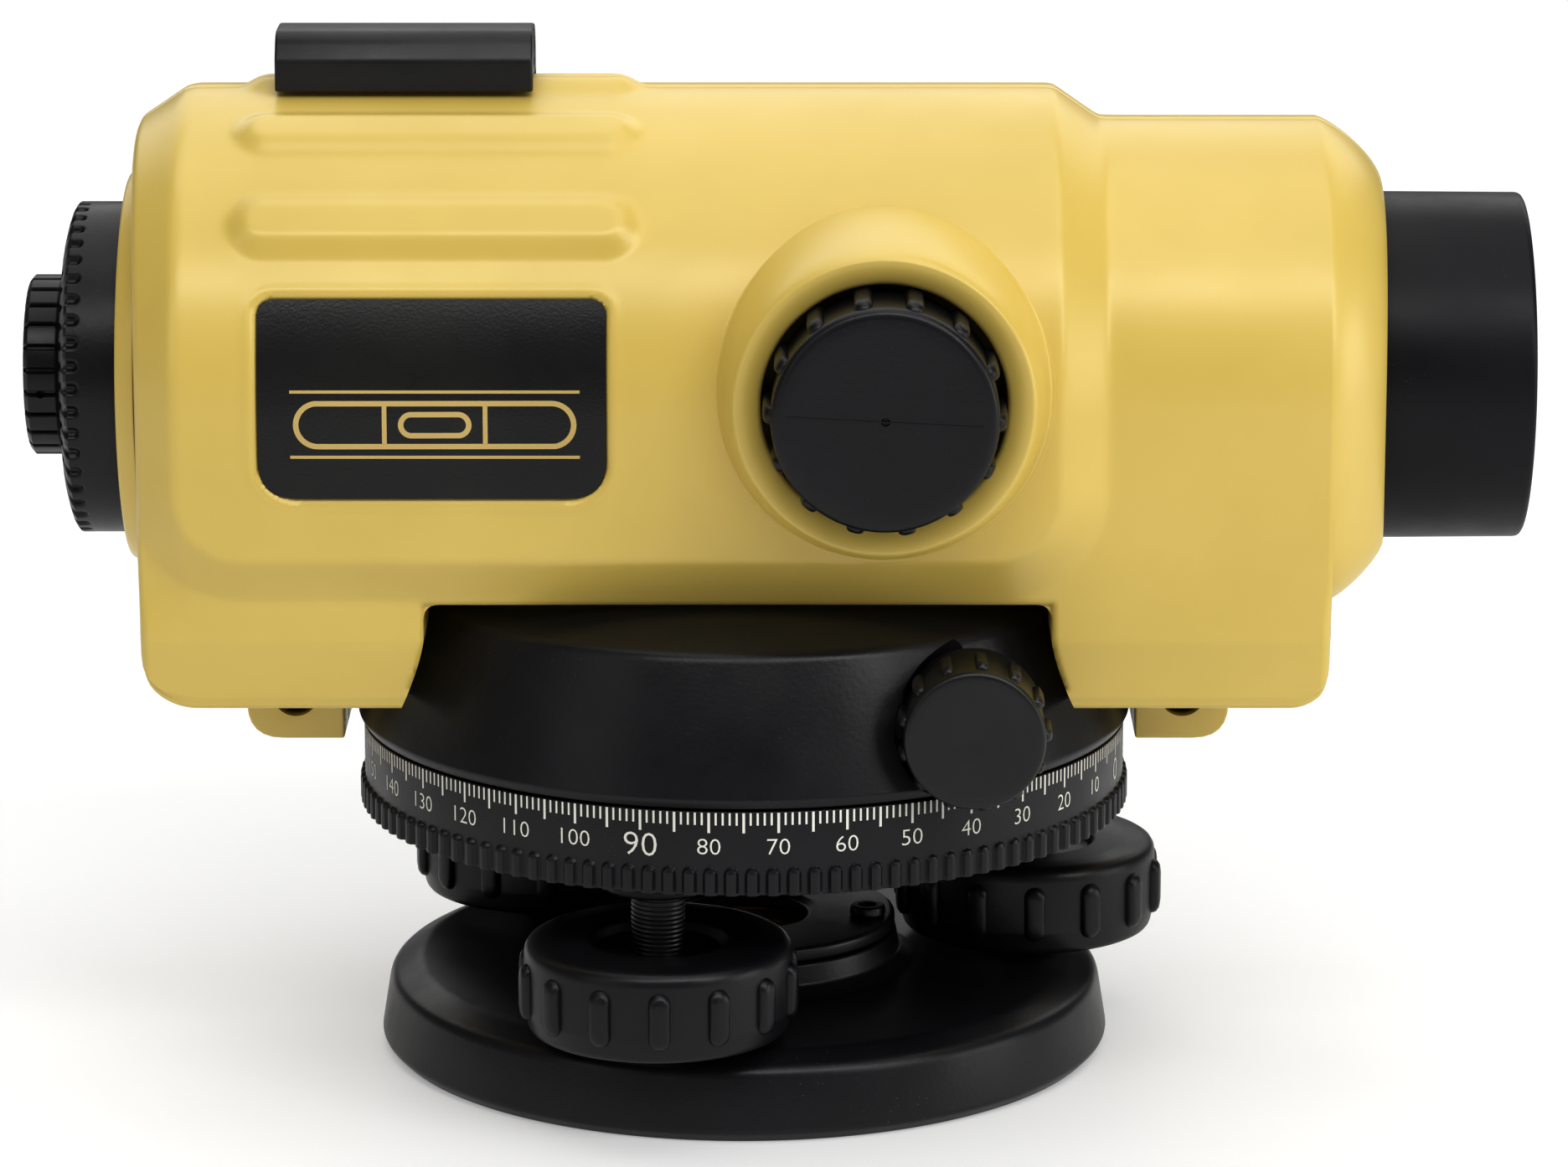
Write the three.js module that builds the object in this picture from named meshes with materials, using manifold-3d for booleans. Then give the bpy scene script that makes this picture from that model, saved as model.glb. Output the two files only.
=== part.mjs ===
// Automatic level (builder's optical level) on its levelling base.
// Frame: millimetres, +Z up, origin on the vertical rotation axis at the underside of the base plate,
// +X toward the objective, -Y is the side that carries the focusing knob.

import * as THREE from 'three';
import { mergeVertices } from 'three/addons/utils/BufferGeometryUtils.js';
import Module from 'manifold-3d';

const wasm = await Module();
wasm.setup();

// ---------- driving dimensions ----------
const TELESCOPE_Z = 90.7;

const BASE_TOP = 11;
const FOOT_RADIUS = 39.07;
const FOOT_ANGLES = [-15.9, 104.1, 224.1];
const FOOT_RIBS = 14;
const FOOT_BALL_Z = 9.5;
const KNOB_RADIUS = 17.1;
const KNOB_BOTTOM = 12.4;
const KNOB_TOP = 24.2;
const SCREW_ANGLES = [80, 200, 320];
const SCREW_CIRCLE = 16.6;

const CIRCLE_RADIUS = 50;
const CIRCLE_BOTTOM = 33.8;
const CIRCLE_TOP = 43.9;

const FINE_X = 29;
const FINE_Z = 53.2;
const FINE_RADIUS = 8.9;
const FINE_FACE = 50;
const FINE_RIBS = 12;

const FOCUS_X = 17.7;
const FOCUS_Z = 94.3;
const FOCUS_RADIUS = 14.1;
const FOCUS_FACE = -52.5;
const FOCUS_RIBS = 14;

const WALL = 2.2;
const SKIRT_LEFT = -76.2;
const SKIRT_RIGHT = 74.5;
const SKIRT_BOTTOM = 52.3;
const HALF_WIDTH = 33;
const CREASE_Z = 61.6;
const CROWN = 32.4;
const OBJECTIVE_END = 82.3;
const OBJECTIVE_BELLY = 25.7;
const BULGE_PROUD = 4.2;
const BULGE_LEFT = -77.4;
const BULGE_RIGHT = 46;
const BULGE_BOTTOM = 66.9;
const BULGE_SLOPE = 6.2;
const BULGE_CORNER = 13;
const RIB_ANGLES = [-49.7, -25, 0, 25, 49.7];
const RIB_LEFT = -65;
const RIB_RIGHT = -12.3;
const RIB_WIDTH = 8.9;
const RIB_PROUD = 1.3;
const LUG_Z = 48.4;
const LUG_CORNER = 4.4;
const LUG_BOTTOM = 42.4;

const VIAL_X = -30;
const VIAL_Y = 50;

// ---------- geometry helpers ----------

// Closed three.js geometry to manifold solid.
function solid(geometry) {
  geometry.deleteAttribute('normal');
  geometry.deleteAttribute('uv');
  const merged = mergeVertices(geometry, 1e-4);
  const points = merged.attributes.position;
  const index = Array.from(merged.index.array);
  let volume = 0;
  const a = new THREE.Vector3();
  const b = new THREE.Vector3();
  const c = new THREE.Vector3();
  const triangles = [];
  for (let i = 0; i < index.length; i += 3) {
    const [p, q, r] = [index[i], index[i + 1], index[i + 2]];
    if (p === q || q === r || r === p) continue;
    triangles.push(p, q, r);
    a.fromBufferAttribute(points, p);
    b.fromBufferAttribute(points, q);
    c.fromBufferAttribute(points, r);
    volume += a.dot(b.cross(c));
  }
  if (volume < 0) {
    for (let i = 0; i < triangles.length; i += 3) {
      [triangles[i + 1], triangles[i + 2]] = [triangles[i + 2], triangles[i + 1]];
    }
  }
  const mesh = new wasm.Mesh({
    numProp: 3,
    vertProperties: new Float32Array(points.array),
    triVerts: new Uint32Array(triangles),
  });
  return new wasm.Manifold(mesh);
}

// Turns a shape made about or along Z so that it runs about or along X or Y.
function orient(geometry, axis) {
  if (axis === 'x') geometry.rotateY(Math.PI / 2);
  if (axis === 'y') geometry.rotateX(-Math.PI / 2);
  return geometry;
}

// Solid of revolution about an axis: profile of [radius, position along the axis].
function turned(axis, profile, segments = 28, at = [0, 0, 0]) {
  const points = profile.map(([r, p]) => new THREE.Vector2(r, p));
  points.push(points[0].clone());
  const geometry = new THREE.LatheGeometry(points, segments);
  geometry.rotateX(Math.PI / 2);
  orient(geometry, axis);
  geometry.translate(...at);
  return solid(geometry);
}

function rod(axis, radius, from, to, at = [0, 0, 0], segments = 24) {
  return turned(axis, [[0, from], [radius, from], [radius, to], [0, to]], segments, at);
}

function tube(axis, outer, inner, from, to, at = [0, 0, 0], segments = 28) {
  return turned(axis, [[inner, from], [outer, from], [outer, to], [inner, to]], segments, at);
}

function block(x0, x1, y0, y1, z0, z1) {
  const geometry = new THREE.BoxGeometry(x1 - x0, y1 - y0, z1 - z0);
  geometry.translate((x0 + x1) / 2, (y0 + y1) / 2, (z0 + z1) / 2);
  return solid(geometry);
}

// Outline of [x, y] points pushed along +Z from one height to another.
function plate(points, from, to) {
  const shape = new THREE.Shape(points.map(([x, y]) => new THREE.Vector2(x, y)));
  const geometry = new THREE.ExtrudeGeometry(shape, { depth: to - from, bevelEnabled: false });
  geometry.translate(0, 0, from);
  return geometry;
}

// Outline in the XZ plane pushed along Y.
function sidePlate(points, from, to) {
  const geometry = plate(points.map(([x, z]) => [x, -z]), from, to);
  return solid(orient(geometry, 'y'));
}

// Outline in the YZ plane pushed along X.
function endPlate(points, from, to) {
  const geometry = plate(points.map(([y, z]) => [-z, y]), from, to);
  return solid(orient(geometry, 'x'));
}

// Skin over equal-length rings of [x, y, z] points, closed by a fan at each end.
function loft(rings) {
  const count = rings[0].length;
  const positions = rings.flat(2);
  const index = [];
  for (let i = 0; i + 1 < rings.length; i += 1) {
    for (let j = 0; j < count; j += 1) {
      const k = (j + 1) % count;
      const [a, b] = [i * count + j, i * count + k];
      const [c, d] = [a + count, b + count];
      index.push(a, b, c, b, d, c);
    }
  }
  for (const end of [0, rings.length - 1]) {
    const hub = positions.length / 3;
    const ring = rings[end];
    const middle = [0, 1, 2].map((k) => ring.reduce((sum, p) => sum + p[k], 0) / count);
    positions.push(...middle);
    for (let j = 0; j < count; j += 1) {
      const [a, b] = [end * count + j, end * count + ((j + 1) % count)];
      if (end === 0) index.push(b, a, hub);
      else index.push(a, b, hub);
    }
  }
  const geometry = new THREE.BufferGeometry();
  geometry.setAttribute('position', new THREE.Float32BufferAttribute(positions, 3));
  geometry.setIndex(index);
  return solid(geometry);
}

function union(...solids) {
  return solids.reduce((sum, part) => sum.add(part));
}

function cut(body, ...tools) {
  return tools.reduce((rest, tool) => rest.subtract(tool), body);
}

// Point at a radius and an angle measured from -Y toward +X.
function polar(radius, degrees) {
  const angle = THREE.MathUtils.degToRad(degrees);
  return [radius * Math.sin(angle), -radius * Math.cos(angle)];
}

// Round grip outline with raised ribs that are flat-topped.
function gripOutline(radius, proud, ribs, share) {
  const outline = [];
  for (let i = 0; i < ribs; i += 1) {
    const pitch = (2 * Math.PI) / ribs;
    const half = (pitch * share) / 2;
    const steps = [[-1.25 * half, radius], [-0.7 * half, radius + proud]];
    steps.push([0.7 * half, radius + proud], [1.25 * half, radius]);
    for (const [offset, r] of steps) {
      const angle = i * pitch + offset;
      outline.push([r * Math.cos(angle), r * Math.sin(angle)]);
    }
  }
  return outline;
}

// ---------- assembly ----------
const level = new THREE.Group();

const YELLOW = { color: 0xe2c060, roughness: 0.42, metalness: 0 };
const BLACK = { color: 0x202026, roughness: 0.45, metalness: 0 };
const SATIN_BLACK = { color: 0x2a2a2e, roughness: 0.55, metalness: 0 };
const STEEL = { color: 0xa9abae, roughness: 0.32, metalness: 1 };
const BRASS = { color: 0xb8954f, roughness: 0.35, metalness: 1 };
const ALUMINIUM = { color: 0x9fa1a4, roughness: 0.4, metalness: 1 };
const GLASS = { color: 0xbcd0d6, roughness: 0.05, metalness: 0 };
const MIRROR = { color: 0xdfe3e6, roughness: 0.03, metalness: 1 };

function add(name, body, material, place = [0, 0, 0], turn = 0) {
  const { vertProperties, triVerts } = body.getMesh();
  const geometry = new THREE.BufferGeometry();
  geometry.setAttribute('position', new THREE.Float32BufferAttribute(vertProperties, 3));
  geometry.setIndex(Array.from(triVerts));
  const mesh = new THREE.Mesh(geometry, new THREE.MeshStandardMaterial(material));
  mesh.name = name;
  mesh.position.set(...place);
  mesh.rotation.z = THREE.MathUtils.degToRad(turn);
  level.add(mesh);
}

// ---------- base plate ----------
const footPoints = FOOT_ANGLES.map((angle) => polar(FOOT_RADIUS, angle));
const screwPoints = SCREW_ANGLES.map((angle) => polar(SCREW_CIRCLE, angle));

const basePlate = turned('z', [
  [13.4, 0], [47.3, 0], [48.2, 1.5], [46.7, 9], [45.6, 10.4], [43.6, BASE_TOP],
  [20.6, BASE_TOP], [20, 14.8], [13.4, 14.8],
], 36);
const ballPockets = footPoints.map(([x, y]) => rod('z', 5, 5.5, 12, [x, y, 0], 16));
const plateScrewHoles = screwPoints.map(([x, y]) => rod('z', 1.6, 6, 16, [x, y, 0], 10));
add('base_plate', cut(basePlate, ...ballPockets, ...plateScrewHoles), BLACK);

add('tripod_thread_insert', tube('z', 13.1, 7.94, 0.6, 14.5, [0, 0, 0], 24), BRASS);

const clampDisc = turned('z', [[8.5, 15.1], [20, 15.1], [20, 16.3], [19.3, 16.9], [8.5, 16.9]], 36);
const clampHoles = screwPoints.map(([x, y]) => rod('z', 1.6, 14, 19, [x, y, 0], 10));
add('clamp_plate', cut(clampDisc, ...clampHoles), SATIN_BLACK);

screwPoints.forEach(([x, y], i) => {
  const screw = turned('z', [[0, 7], [1.3, 7], [1.3, 17.2], [2.4, 17.2], [2.2, 18.4], [0, 18.4]], 10);
  add(`plate_screw_${i + 1}`, screw, STEEL, [x, y, 0]);
});

footPoints.forEach(([x, y], i) => {
  add(`ball_retainer_${i + 1}`, tube('z', 8, 3.0, 11.3, 12.1, [0, 0, 0], 18), STEEL, [x, y, 0]);
});

// ---------- foot screws ----------
const knobBody = turned('z', [
  [3.4, 14.4], [14.4, 14.4], [14.4, KNOB_BOTTOM], [KNOB_RADIUS - 0.4, KNOB_BOTTOM],
  [KNOB_RADIUS, 22.8], [KNOB_RADIUS - 1.4, KNOB_TOP], [8.4, KNOB_TOP], [8.4, 22.6], [3.4, 22.6],
], 2 * FOOT_RIBS);

const footStud = turned('z', [
  [0, 5.9], [2.2, 6.7], [3.6, FOOT_BALL_Z], [2.9, 10.9], [2.3, 11.4], [2.3, 13.2],
  [3.1, 14], [3.1, 30.6], [2.4, 31.4], [0, 31.4],
], 14);

FOOT_ANGLES.forEach((angle, i) => {
  const [x, y] = footPoints[i];
  add(`foot_knob_${i + 1}`, knobBody, BLACK, [x, y, 0], angle);
  add(`foot_stud_${i + 1}`, footStud, STEEL, [x, y, 0]);
});

// ---------- tribrach and vertical spindle ----------
const hub = turned('z', [[7.4, 25], [21, 25], [21, 33.2], [13.5, 33.2], [13.5, 38.5], [7.4, 38.5]], 28);
const arms = FOOT_ANGLES.map((angle) => {
  const outline = [[-7, -FOOT_RADIUS], [7, -FOOT_RADIUS], [7, -12], [-7, -12]];
  const geometry = plate(outline, 27, 33.2);
  geometry.rotateZ(THREE.MathUtils.degToRad(angle));
  return solid(geometry);
});
const bosses = footPoints.map(([x, y]) => rod('z', 8, 26.4, 33.2, [x, y, 0], 20));
const bushBores = footPoints.map(([x, y]) => rod('z', 5.5, 26, 34, [x, y, 0], 16));
add('tribrach_body', cut(union(hub, ...arms, ...bosses), ...bushBores), SATIN_BLACK);

footPoints.forEach(([x, y], i) => {
  add(`foot_bush_${i + 1}`, tube('z', 5.2, 3.9, 26.6, 33, [0, 0, 0], 16), BRASS, [x, y, 0]);
});

add('spindle', turned('z', [
  [0, 22.5], [9.5, 22.5], [9.5, 24.7], [7.1, 24.7], [7.1, 38.8], [10, 38.8],
  [10, 50.1], [7.1, 50.1], [7.1, 63], [6.2, 64], [0, 64],
], 20), STEEL);

// ---------- graduated horizontal circle ----------
add('horizontal_circle', turned('z', [
  [13.8, CIRCLE_BOTTOM], [50.6, CIRCLE_BOTTOM], [50.6, 37.2], [CIRCLE_RADIUS, 37.5],
  [CIRCLE_RADIUS, CIRCLE_TOP], [47, CIRCLE_TOP], [47, 36.6], [13.8, 36.6],
], 40), BLACK);

// ---------- slow-motion drive ----------
add('worm_wheel', tube('z', 24.3, 7.5, 50.5, 57.4, [0, 0, 0], 28), BRASS);

const fineAt = [FINE_X, 0, FINE_Z];
add('worm_shaft', turned('y', [
  [0, -46.4], [3.2, -46.4], [3.2, -9], [4.3, -8], [4.3, 8], [3.2, 9], [3.2, 46.4], [0, 46.4],
], 14, fineAt), STEEL);

const fineKnob = turned('z', [
  [0, 46.8], [3.5, 46.8], [3.5, 36.6], [FINE_RADIUS, 36.6], [FINE_RADIUS, 49],
  [FINE_RADIUS - 1, FINE_FACE], [0, FINE_FACE],
], 2 * FINE_RIBS);
const toFar = fineKnob.rotate([-90, 0, 0]).translate(fineAt);
const toNear = fineKnob.rotate([90, 0, 0]).translate(fineAt);
add('fine_knob_near', toNear, BLACK);
add('fine_knob_far', toFar, BLACK);

// ---------- alidade base drum ----------
const drumOuter = [
  [50.1, 44.3], [50.8, 45.4], [49.5, 50.6], [44.9, 62], [43.4, 63.3], [36.5, 65.2], [28, 66.8], [11.9, 67.6],
];
const drumInner = [
  [11.9, 65.3], [28, 64.4], [36, 62.6], [42.6, 60.6], [47.2, 50], [47.2, 44.3],
];
const drumShell = turned('z', [...drumOuter, ...drumInner], 36);
const drumSolid = turned('z', [...drumOuter, [0, 67.6], [0, 44.3]], 36);
const pockets = [];
const floors = [];
for (const side of [-1, 1]) {
  const [near, far] = [35.8 * side, 60 * side];
  pockets.push(rod('y', 9.9, Math.min(near, far), Math.max(near, far), fineAt));
  const [inner, outer] = [32 * side, 47 * side];
  floors.push(rod('y', 12.4, Math.min(inner, outer), Math.max(inner, outer), fineAt));
}
const drumWithFloors = union(drumShell, drumSolid.intersect(union(...floors)));
const wormHole = rod('y', 3.6, -60, 60, fineAt);
add('base_housing', cut(drumWithFloors, ...pockets, wormHole), BLACK);

add('axis_sleeve', tube('z', 11.6, 7.5, 57.8, 67.5, [0, 0, 0], 20), BRASS);

// ---------- yellow housing ----------

// Half of the cross-section, from the skirt edge up the side and over to the crown:
// each entry is [half width, height, outward y, outward z].
function sideLine(bottom) {
  const line = [];
  const slope = 2 / (CREASE_Z - SKIRT_BOTTOM);
  const lift = (z) => bottom + ((z - SKIRT_BOTTOM) * (TELESCOPE_Z - bottom)) / (TELESCOPE_Z - SKIRT_BOTTOM);
  line.push([HALF_WIDTH - 2, lift(SKIRT_BOTTOM), 1, -slope]);
  line.push([HALF_WIDTH, lift(CREASE_Z), 1, 0]);
  for (const z of [66.9, 70, 73.1, 80]) line.push([HALF_WIDTH, lift(z), 1, 0]);
  for (let i = 0; i <= 7; i += 1) {
    const angle = (i * Math.PI) / 14;
    const [c, s] = [Math.cos(angle), Math.sin(angle)];
    line.push([HALF_WIDTH * c, TELESCOPE_Z + CROWN * s, c, s]);
  }
  return line;
}

// Closed ring at one station from a side line, moved outward by an offset that may vary with height.
function ringAt(x, line, offset) {
  const near = line.map(([w, z, ny, nz]) => {
    const d = offset(z);
    return [x, -(w + d * ny), z + d * nz];
  });
  const far = near.slice(0, -1).reverse().map(([px, y, z]) => [px, -y, z]);
  return [...near, ...far];
}

// Height of a rounded lower corner above the straight bottom edge.
function cornerLift(distance, radius) {
  if (distance >= radius) return 0;
  return radius - Math.sqrt(radius * radius - (radius - distance) ** 2);
}

function skirtLoft(inset) {
  const left = SKIRT_LEFT + inset;
  const right = SKIRT_RIGHT - inset;
  const stations = [[left, -2], [left + 0.7, -0.7], [left + 2.4, 0], [left + 7, 0]];
  stations.push([right - 5, 0], [right - 2, -0.2], [right - 0.6, -0.9], [right, -2]);
  const bottom = inset > 0 ? SKIRT_BOTTOM - 3 : SKIRT_BOTTOM;
  return loft(stations.map(([x, edge]) => {
    const rise = inset > 0 ? 0 : cornerLift(x - left, 7) * 0.8 + cornerLift(right - x, 5) * 0.8;
    return ringAt(x, sideLine(bottom + rise), () => edge - inset);
  }));
}

function objectiveLoft(inset) {
  const ends = [[-20, 0], [-8.3, 0], [-5.3, -0.7], [-2.3, -2.6], [-0.7, -4.9], [0, -7.2]];
  return loft(ends.map(([back, edge]) => {
    const ring = [];
    for (let i = 0; i < 28; i += 1) {
      const angle = (i * Math.PI) / 14;
      const [c, s] = [Math.cos(angle), Math.sin(angle)];
      const d = edge - inset;
      const squarer = s < 0 ? (Math.abs(c) ** 3 + Math.abs(s) ** 3) ** (-1 / 3) : 1;
      const height = (s < 0 ? OBJECTIVE_BELLY : CROWN) + d;
      ring.push([OBJECTIVE_END - inset + back, (HALF_WIDTH + d) * c * squarer,
        TELESCOPE_Z + height * s * squarer]);
    }
    return ring;
  }));
}

// Raised central part: stands proud of the skirt, with a sloping border and rounded lower corners.
function bulgeOffset(x, z) {
  const side = Math.min(x - BULGE_LEFT, BULGE_RIGHT - x);
  const rise = z - BULGE_BOTTOM;
  let inside = Math.min(side, rise);
  if (side < BULGE_CORNER && rise < BULGE_CORNER) {
    inside = BULGE_CORNER - Math.hypot(BULGE_CORNER - side, BULGE_CORNER - rise);
  }
  return THREE.MathUtils.clamp((inside * BULGE_PROUD) / BULGE_SLOPE, -0.3, BULGE_PROUD);
}

function bulgeLoft(inset) {
  const xs = [BULGE_LEFT + 0.1, -74.1, -70.8, -67.5, -60, -20, 30, 36, 39.3, 42.6, BULGE_RIGHT];
  return loft(xs.map((x) => {
    const shift = x < 0 ? inset : -inset;
    const line = sideLine(SKIRT_BOTTOM).slice(1);
    return ringAt(x + shift, line, (z) => bulgeOffset(x, z) - inset);
  }));
}

const ribSolids = RIB_ANGLES.map((degrees) => {
  const radius = RIB_WIDTH / 2;
  const shape = new THREE.Shape();
  shape.absarc(RIB_RIGHT - radius, 0, radius, -Math.PI / 2, Math.PI / 2);
  shape.absarc(RIB_LEFT + radius, 0, radius, Math.PI / 2, (3 * Math.PI) / 2);
  const geometry = new THREE.ExtrudeGeometry(shape, { depth: 2.6, bevelEnabled: false, curveSegments: 4 });
  geometry.translate(0, 0, CROWN + BULGE_PROUD + RIB_PROUD - 2.6);
  geometry.rotateX(THREE.MathUtils.degToRad(degrees));
  geometry.translate(0, 0, TELESCOPE_Z);
  return solid(geometry);
});

const focusAt = [FOCUS_X, 0, FOCUS_Z];
const focusBoss = turned('y', [
  [15.6, -43.6], [17, -44], [18.4, -43.2], [19.3, -41], [19.8, -36], [19.8, -31], [15.6, -31],
], 32, focusAt);
const focusHole = rod('y', 15.6, -50, -25, focusAt, 32);
const collar = rod('x', 26, -80.2, -74, [0, 0, TELESCOPE_Z], 36);
const eyepieceHole = rod('x', 22.2, -82, -77.6, [0, 0, TELESCOPE_Z], 28);
const eyepieceBore = rod('x', 17, -79, -70, [0, 0, TELESCOPE_Z], 24);
const objectiveHole = rod('x', 23.1, 60, 90, [0, 0, TELESCOPE_Z], 32);

const doorway = sidePlate([
  [-44.5, 48], [43.5, 48], [42.4, 52.3], [40.9, 56], [39.2, 60], [39.2, 65], [37.8, 66.4], [-39, 66.4],
  [-40.4, 65], [-40.4, 60], [-42.1, 56], [-43.4, 52.3],
], -40, 40);

// Curved strip under the surface of the raised part, for the label and its recess.
function labelStrip(x0, x1, z0, z1, deep, high) {
  const top = Math.asin((z1 - TELESCOPE_Z) / (CROWN + BULGE_PROUD));
  const outer = [];
  const inner = [];
  for (const step of [0, 0.2, 0.4, 0.6, 0.8, 1]) {
    const [c, s] = [Math.cos(top * step), Math.sin(top * step)];
    const reach = BULGE_PROUD + high;
    const back = BULGE_PROUD + deep;
    outer.push([-(HALF_WIDTH + reach) * c, TELESCOPE_Z + (CROWN + reach) * s]);
    inner.push([-(HALF_WIDTH + back) * c, TELESCOPE_Z + (CROWN + back) * s]);
  }
  outer.unshift([outer[0][0], z0]);
  inner.unshift([inner[0][0], z0]);
  return endPlate([...outer, ...inner.reverse()], x0, x1);
}

const outerSkin = union(skirtLoft(0), objectiveLoft(0), bulgeLoft(0), collar, ...ribSolids);
const innerSkin = union(skirtLoft(WALL), objectiveLoft(WALL), bulgeLoft(WALL));
const hollowSkin = cut(
  outerSkin, innerSkin, eyepieceHole, eyepieceBore, objectiveHole, doorway,
);

function lug(x0, x1, side) {
  const [y0, y1] = side < 0 ? [-8, -0.15] : [0.15, 8];
  const [w0, w1] = side < 0 ? [-31.2, -7] : [7, 31.2];
  const middle = (x0 + x1) / 2;
  const [inner, outer, way] = x0 < 0 ? [x1, x0, 1] : [x0, x1, -1];
  const r = LUG_CORNER;
  const outline = [
    [inner, 60], [inner, LUG_BOTTOM], [outer + way * r, LUG_BOTTOM],
    [outer + way * r * 0.5, LUG_BOTTOM + r * 0.13], [outer + way * r * 0.13, LUG_BOTTOM + r * 0.5],
    [outer, LUG_BOTTOM + r], [outer, 60],
  ];
  return union(sidePlate(outline, y0, y1), block(middle - 1.2, middle + 1.2, w0, w1, 57.2, 60));
}
const LUGS = [[-64.9, -52.2], [51.2, 63.4]];
const lugCentres = LUGS.map(([x0, x1]) => (x0 + x1) / 2);
const nearLugs = LUGS.map(([x0, x1]) => lug(x0, x1, -1));
const farLugs = LUGS.map(([x0, x1]) => lug(x0, x1, 1));
const screwHoles = lugCentres.map((x) => rod('y', 1.9, -9, 6.4, [x, 0, LUG_Z], 12));
const headHoles = lugCentres.map((x) => rod('y', 3, -9, -4.4, [x, 0, LUG_Z], 14));

const nearHalf = block(-90, 90, -60, -0.15, 40, 140);
const farHalf = block(-90, 90, 0.15, 60, 40, 140);
const labelRecess = labelStrip(-60.9, -16.5, 80.7, 106.4, -1.2, 3);
const nearSkin = union(hollowSkin.intersect(nearHalf), focusBoss, ...nearLugs);
const farSkin = union(hollowSkin.intersect(farHalf), ...farLugs);
add('shell_near', cut(nearSkin, focusHole, labelRecess, ...screwHoles, ...headHoles), YELLOW);
add('shell_far', cut(farSkin, ...screwHoles), YELLOW);

add('label_plate', labelStrip(-60.5, -16.9, 81.1, 106, -0.9, -0.1), SATIN_BLACK);

lugCentres.forEach((x, i) => {
  const screw = turned('y', [[0, -7], [2.6, -7], [2.6, -4.8], [1.5, -4.8], [1.5, 6], [0, 6]], 10);
  add(`lug_screw_${i + 1}`, screw, STEEL, [x, 0, LUG_Z]);
});

const sightOutline = [
  [-6.5, 127.6], [-4.9, 127.6], [-4.9, 129], [4.9, 129], [4.9, 127.6], [6.5, 127.6], [6.5, 131.4],
  [5.6, 133.6], [3.6, 134.8], [0, 135.1], [-3.6, 134.8], [-5.6, 133.6], [-6.5, 131.4],
];
const sightChannel = rod('x', 2.2, -62, -24, [0, 0, 132.1], 12);
add('peep_sight', cut(endPlate(sightOutline, -59.9, -26.9), sightChannel), BLACK);

// ---------- telescope ----------
const opticalAxis = [0, 0, TELESCOPE_Z];
const chassisFloor = cut(block(-66, 68, -16, 16, 67.9, 71), rod('z', 6.5, 60, 72));
const chassisTube = tube('x', 19.5, 17.2, 2, 76, opticalAxis, 28);
const chassisFoot = cut(
  union(block(4, 10, -12, 12, 69, 80), block(60, 68, -12, 12, 69, 80)),
  rod('x', 18.4, 0, 80, opticalAxis, 28),
);
const chassisWall = cut(
  union(rod('x', 17.5, -66, -61, opticalAxis, 24), block(-66, -61, -14, 14, 69, 85)),
  rod('x', 9.9, -68, -60, opticalAxis, 18),
);
const bridgeSlot = block(0, 41, -23, -8, 87.4, 92.6);
add('chassis', cut(union(chassisFloor, chassisTube, chassisFoot, chassisWall), bridgeSlot), ALUMINIUM);

add('objective_barrel', turned('x', [
  [19.8, 70], [22.7, 70], [22.7, 99.4], [22.2, 100.7], [21.2, 101.2], [19.8, 101], [19.6, 90],
  [17.4, 90], [17.4, 87], [19.8, 87],
], 36, opticalAxis), BLACK);
add('objective_lens', turned('x', [
  [0, 90.2], [12, 90.4], [19.2, 91.4], [19.2, 94], [12, 95.4], [0, 95.9],
], 24, opticalAxis), GLASS);
add('objective_retainer', tube('x', 19.3, 17.4, 96.4, 98.4, opticalAxis, 24), SATIN_BLACK);

const rackCell = union(
  tube('x', 16.6, 12.8, 14, 26, opticalAxis, 24),
  block(14, 26, -24, -14.4, 88, 90.7),
  block(3, 34, -27, -22, 88, 90.7),
);
add('focus_cell', cut(rackCell, rod('x', 12.8, 0, 40, opticalAxis, 24)), ALUMINIUM);
add('focus_lens', turned('x', [
  [0, 19.4], [8, 18.8], [12.4, 17.6], [12.4, 22.4], [8, 21.2], [0, 20.6],
], 20, opticalAxis), GLASS);

const focusCore = turned('y', [
  [0, FOCUS_FACE], [FOCUS_RADIUS - 1.2, FOCUS_FACE], [FOCUS_RADIUS, -51.4],
  [FOCUS_RADIUS, -39.5], [3, -39.5], [3, -47.6], [0, -47.6],
], 28, focusAt);
const focusGrip = solid(plate(gripOutline(FOCUS_RADIUS - 0.4, 1.3, FOCUS_RIBS, 0.36), 39.5, 49.8));
const focusRibs = cut(focusGrip, rod('z', 13, 39, 51)).rotate([90, 0, 0]).translate(focusAt);
add('focus_knob', union(focusCore, focusRibs), BLACK);
add('focus_shaft', turned('y', [
  [0, -47.2], [2.6, -47.2], [2.6, -28], [3.1, -27.4], [3.1, -21.4], [0, -21.4],
], 14, focusAt), STEEL);

add('reticle_cell', tube('x', 7.6, 4.2, -76, -72, opticalAxis, 16), BRASS);
add('reticle_glass', rod('x', 3.9, -74.6, -73.2, opticalAxis, 12), GLASS);
add('eyepiece_tube', tube('x', 9.5, 8, -86.4, -63, opticalAxis, 20), BRASS);
add('eyepiece_cover', turned('x', [
  [9.9, -78.4], [21.8, -78.4], [21.8, -85.2], [21.2, -86.4], [19.6, -86.9], [14, -87.4], [9.9, -87.4],
], 30, opticalAxis), BLACK);
const dioptreRibs = orient(plate(gripOutline(11.1, 0.6, 14, 0.5), -91.4, -88), 'x');
dioptreRibs.translate(...opticalAxis);
const dioptreCore = turned('x', [
  [5.9, -92.3], [10.4, -92.3], [11.3, -91.6], [11.3, -87.8], [7.7, -87.8], [7.7, -79], [5.9, -79],
], 20, opticalAxis);
const dioptreBore = rod('x', 10, -93, -80, opticalAxis, 16);
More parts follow.
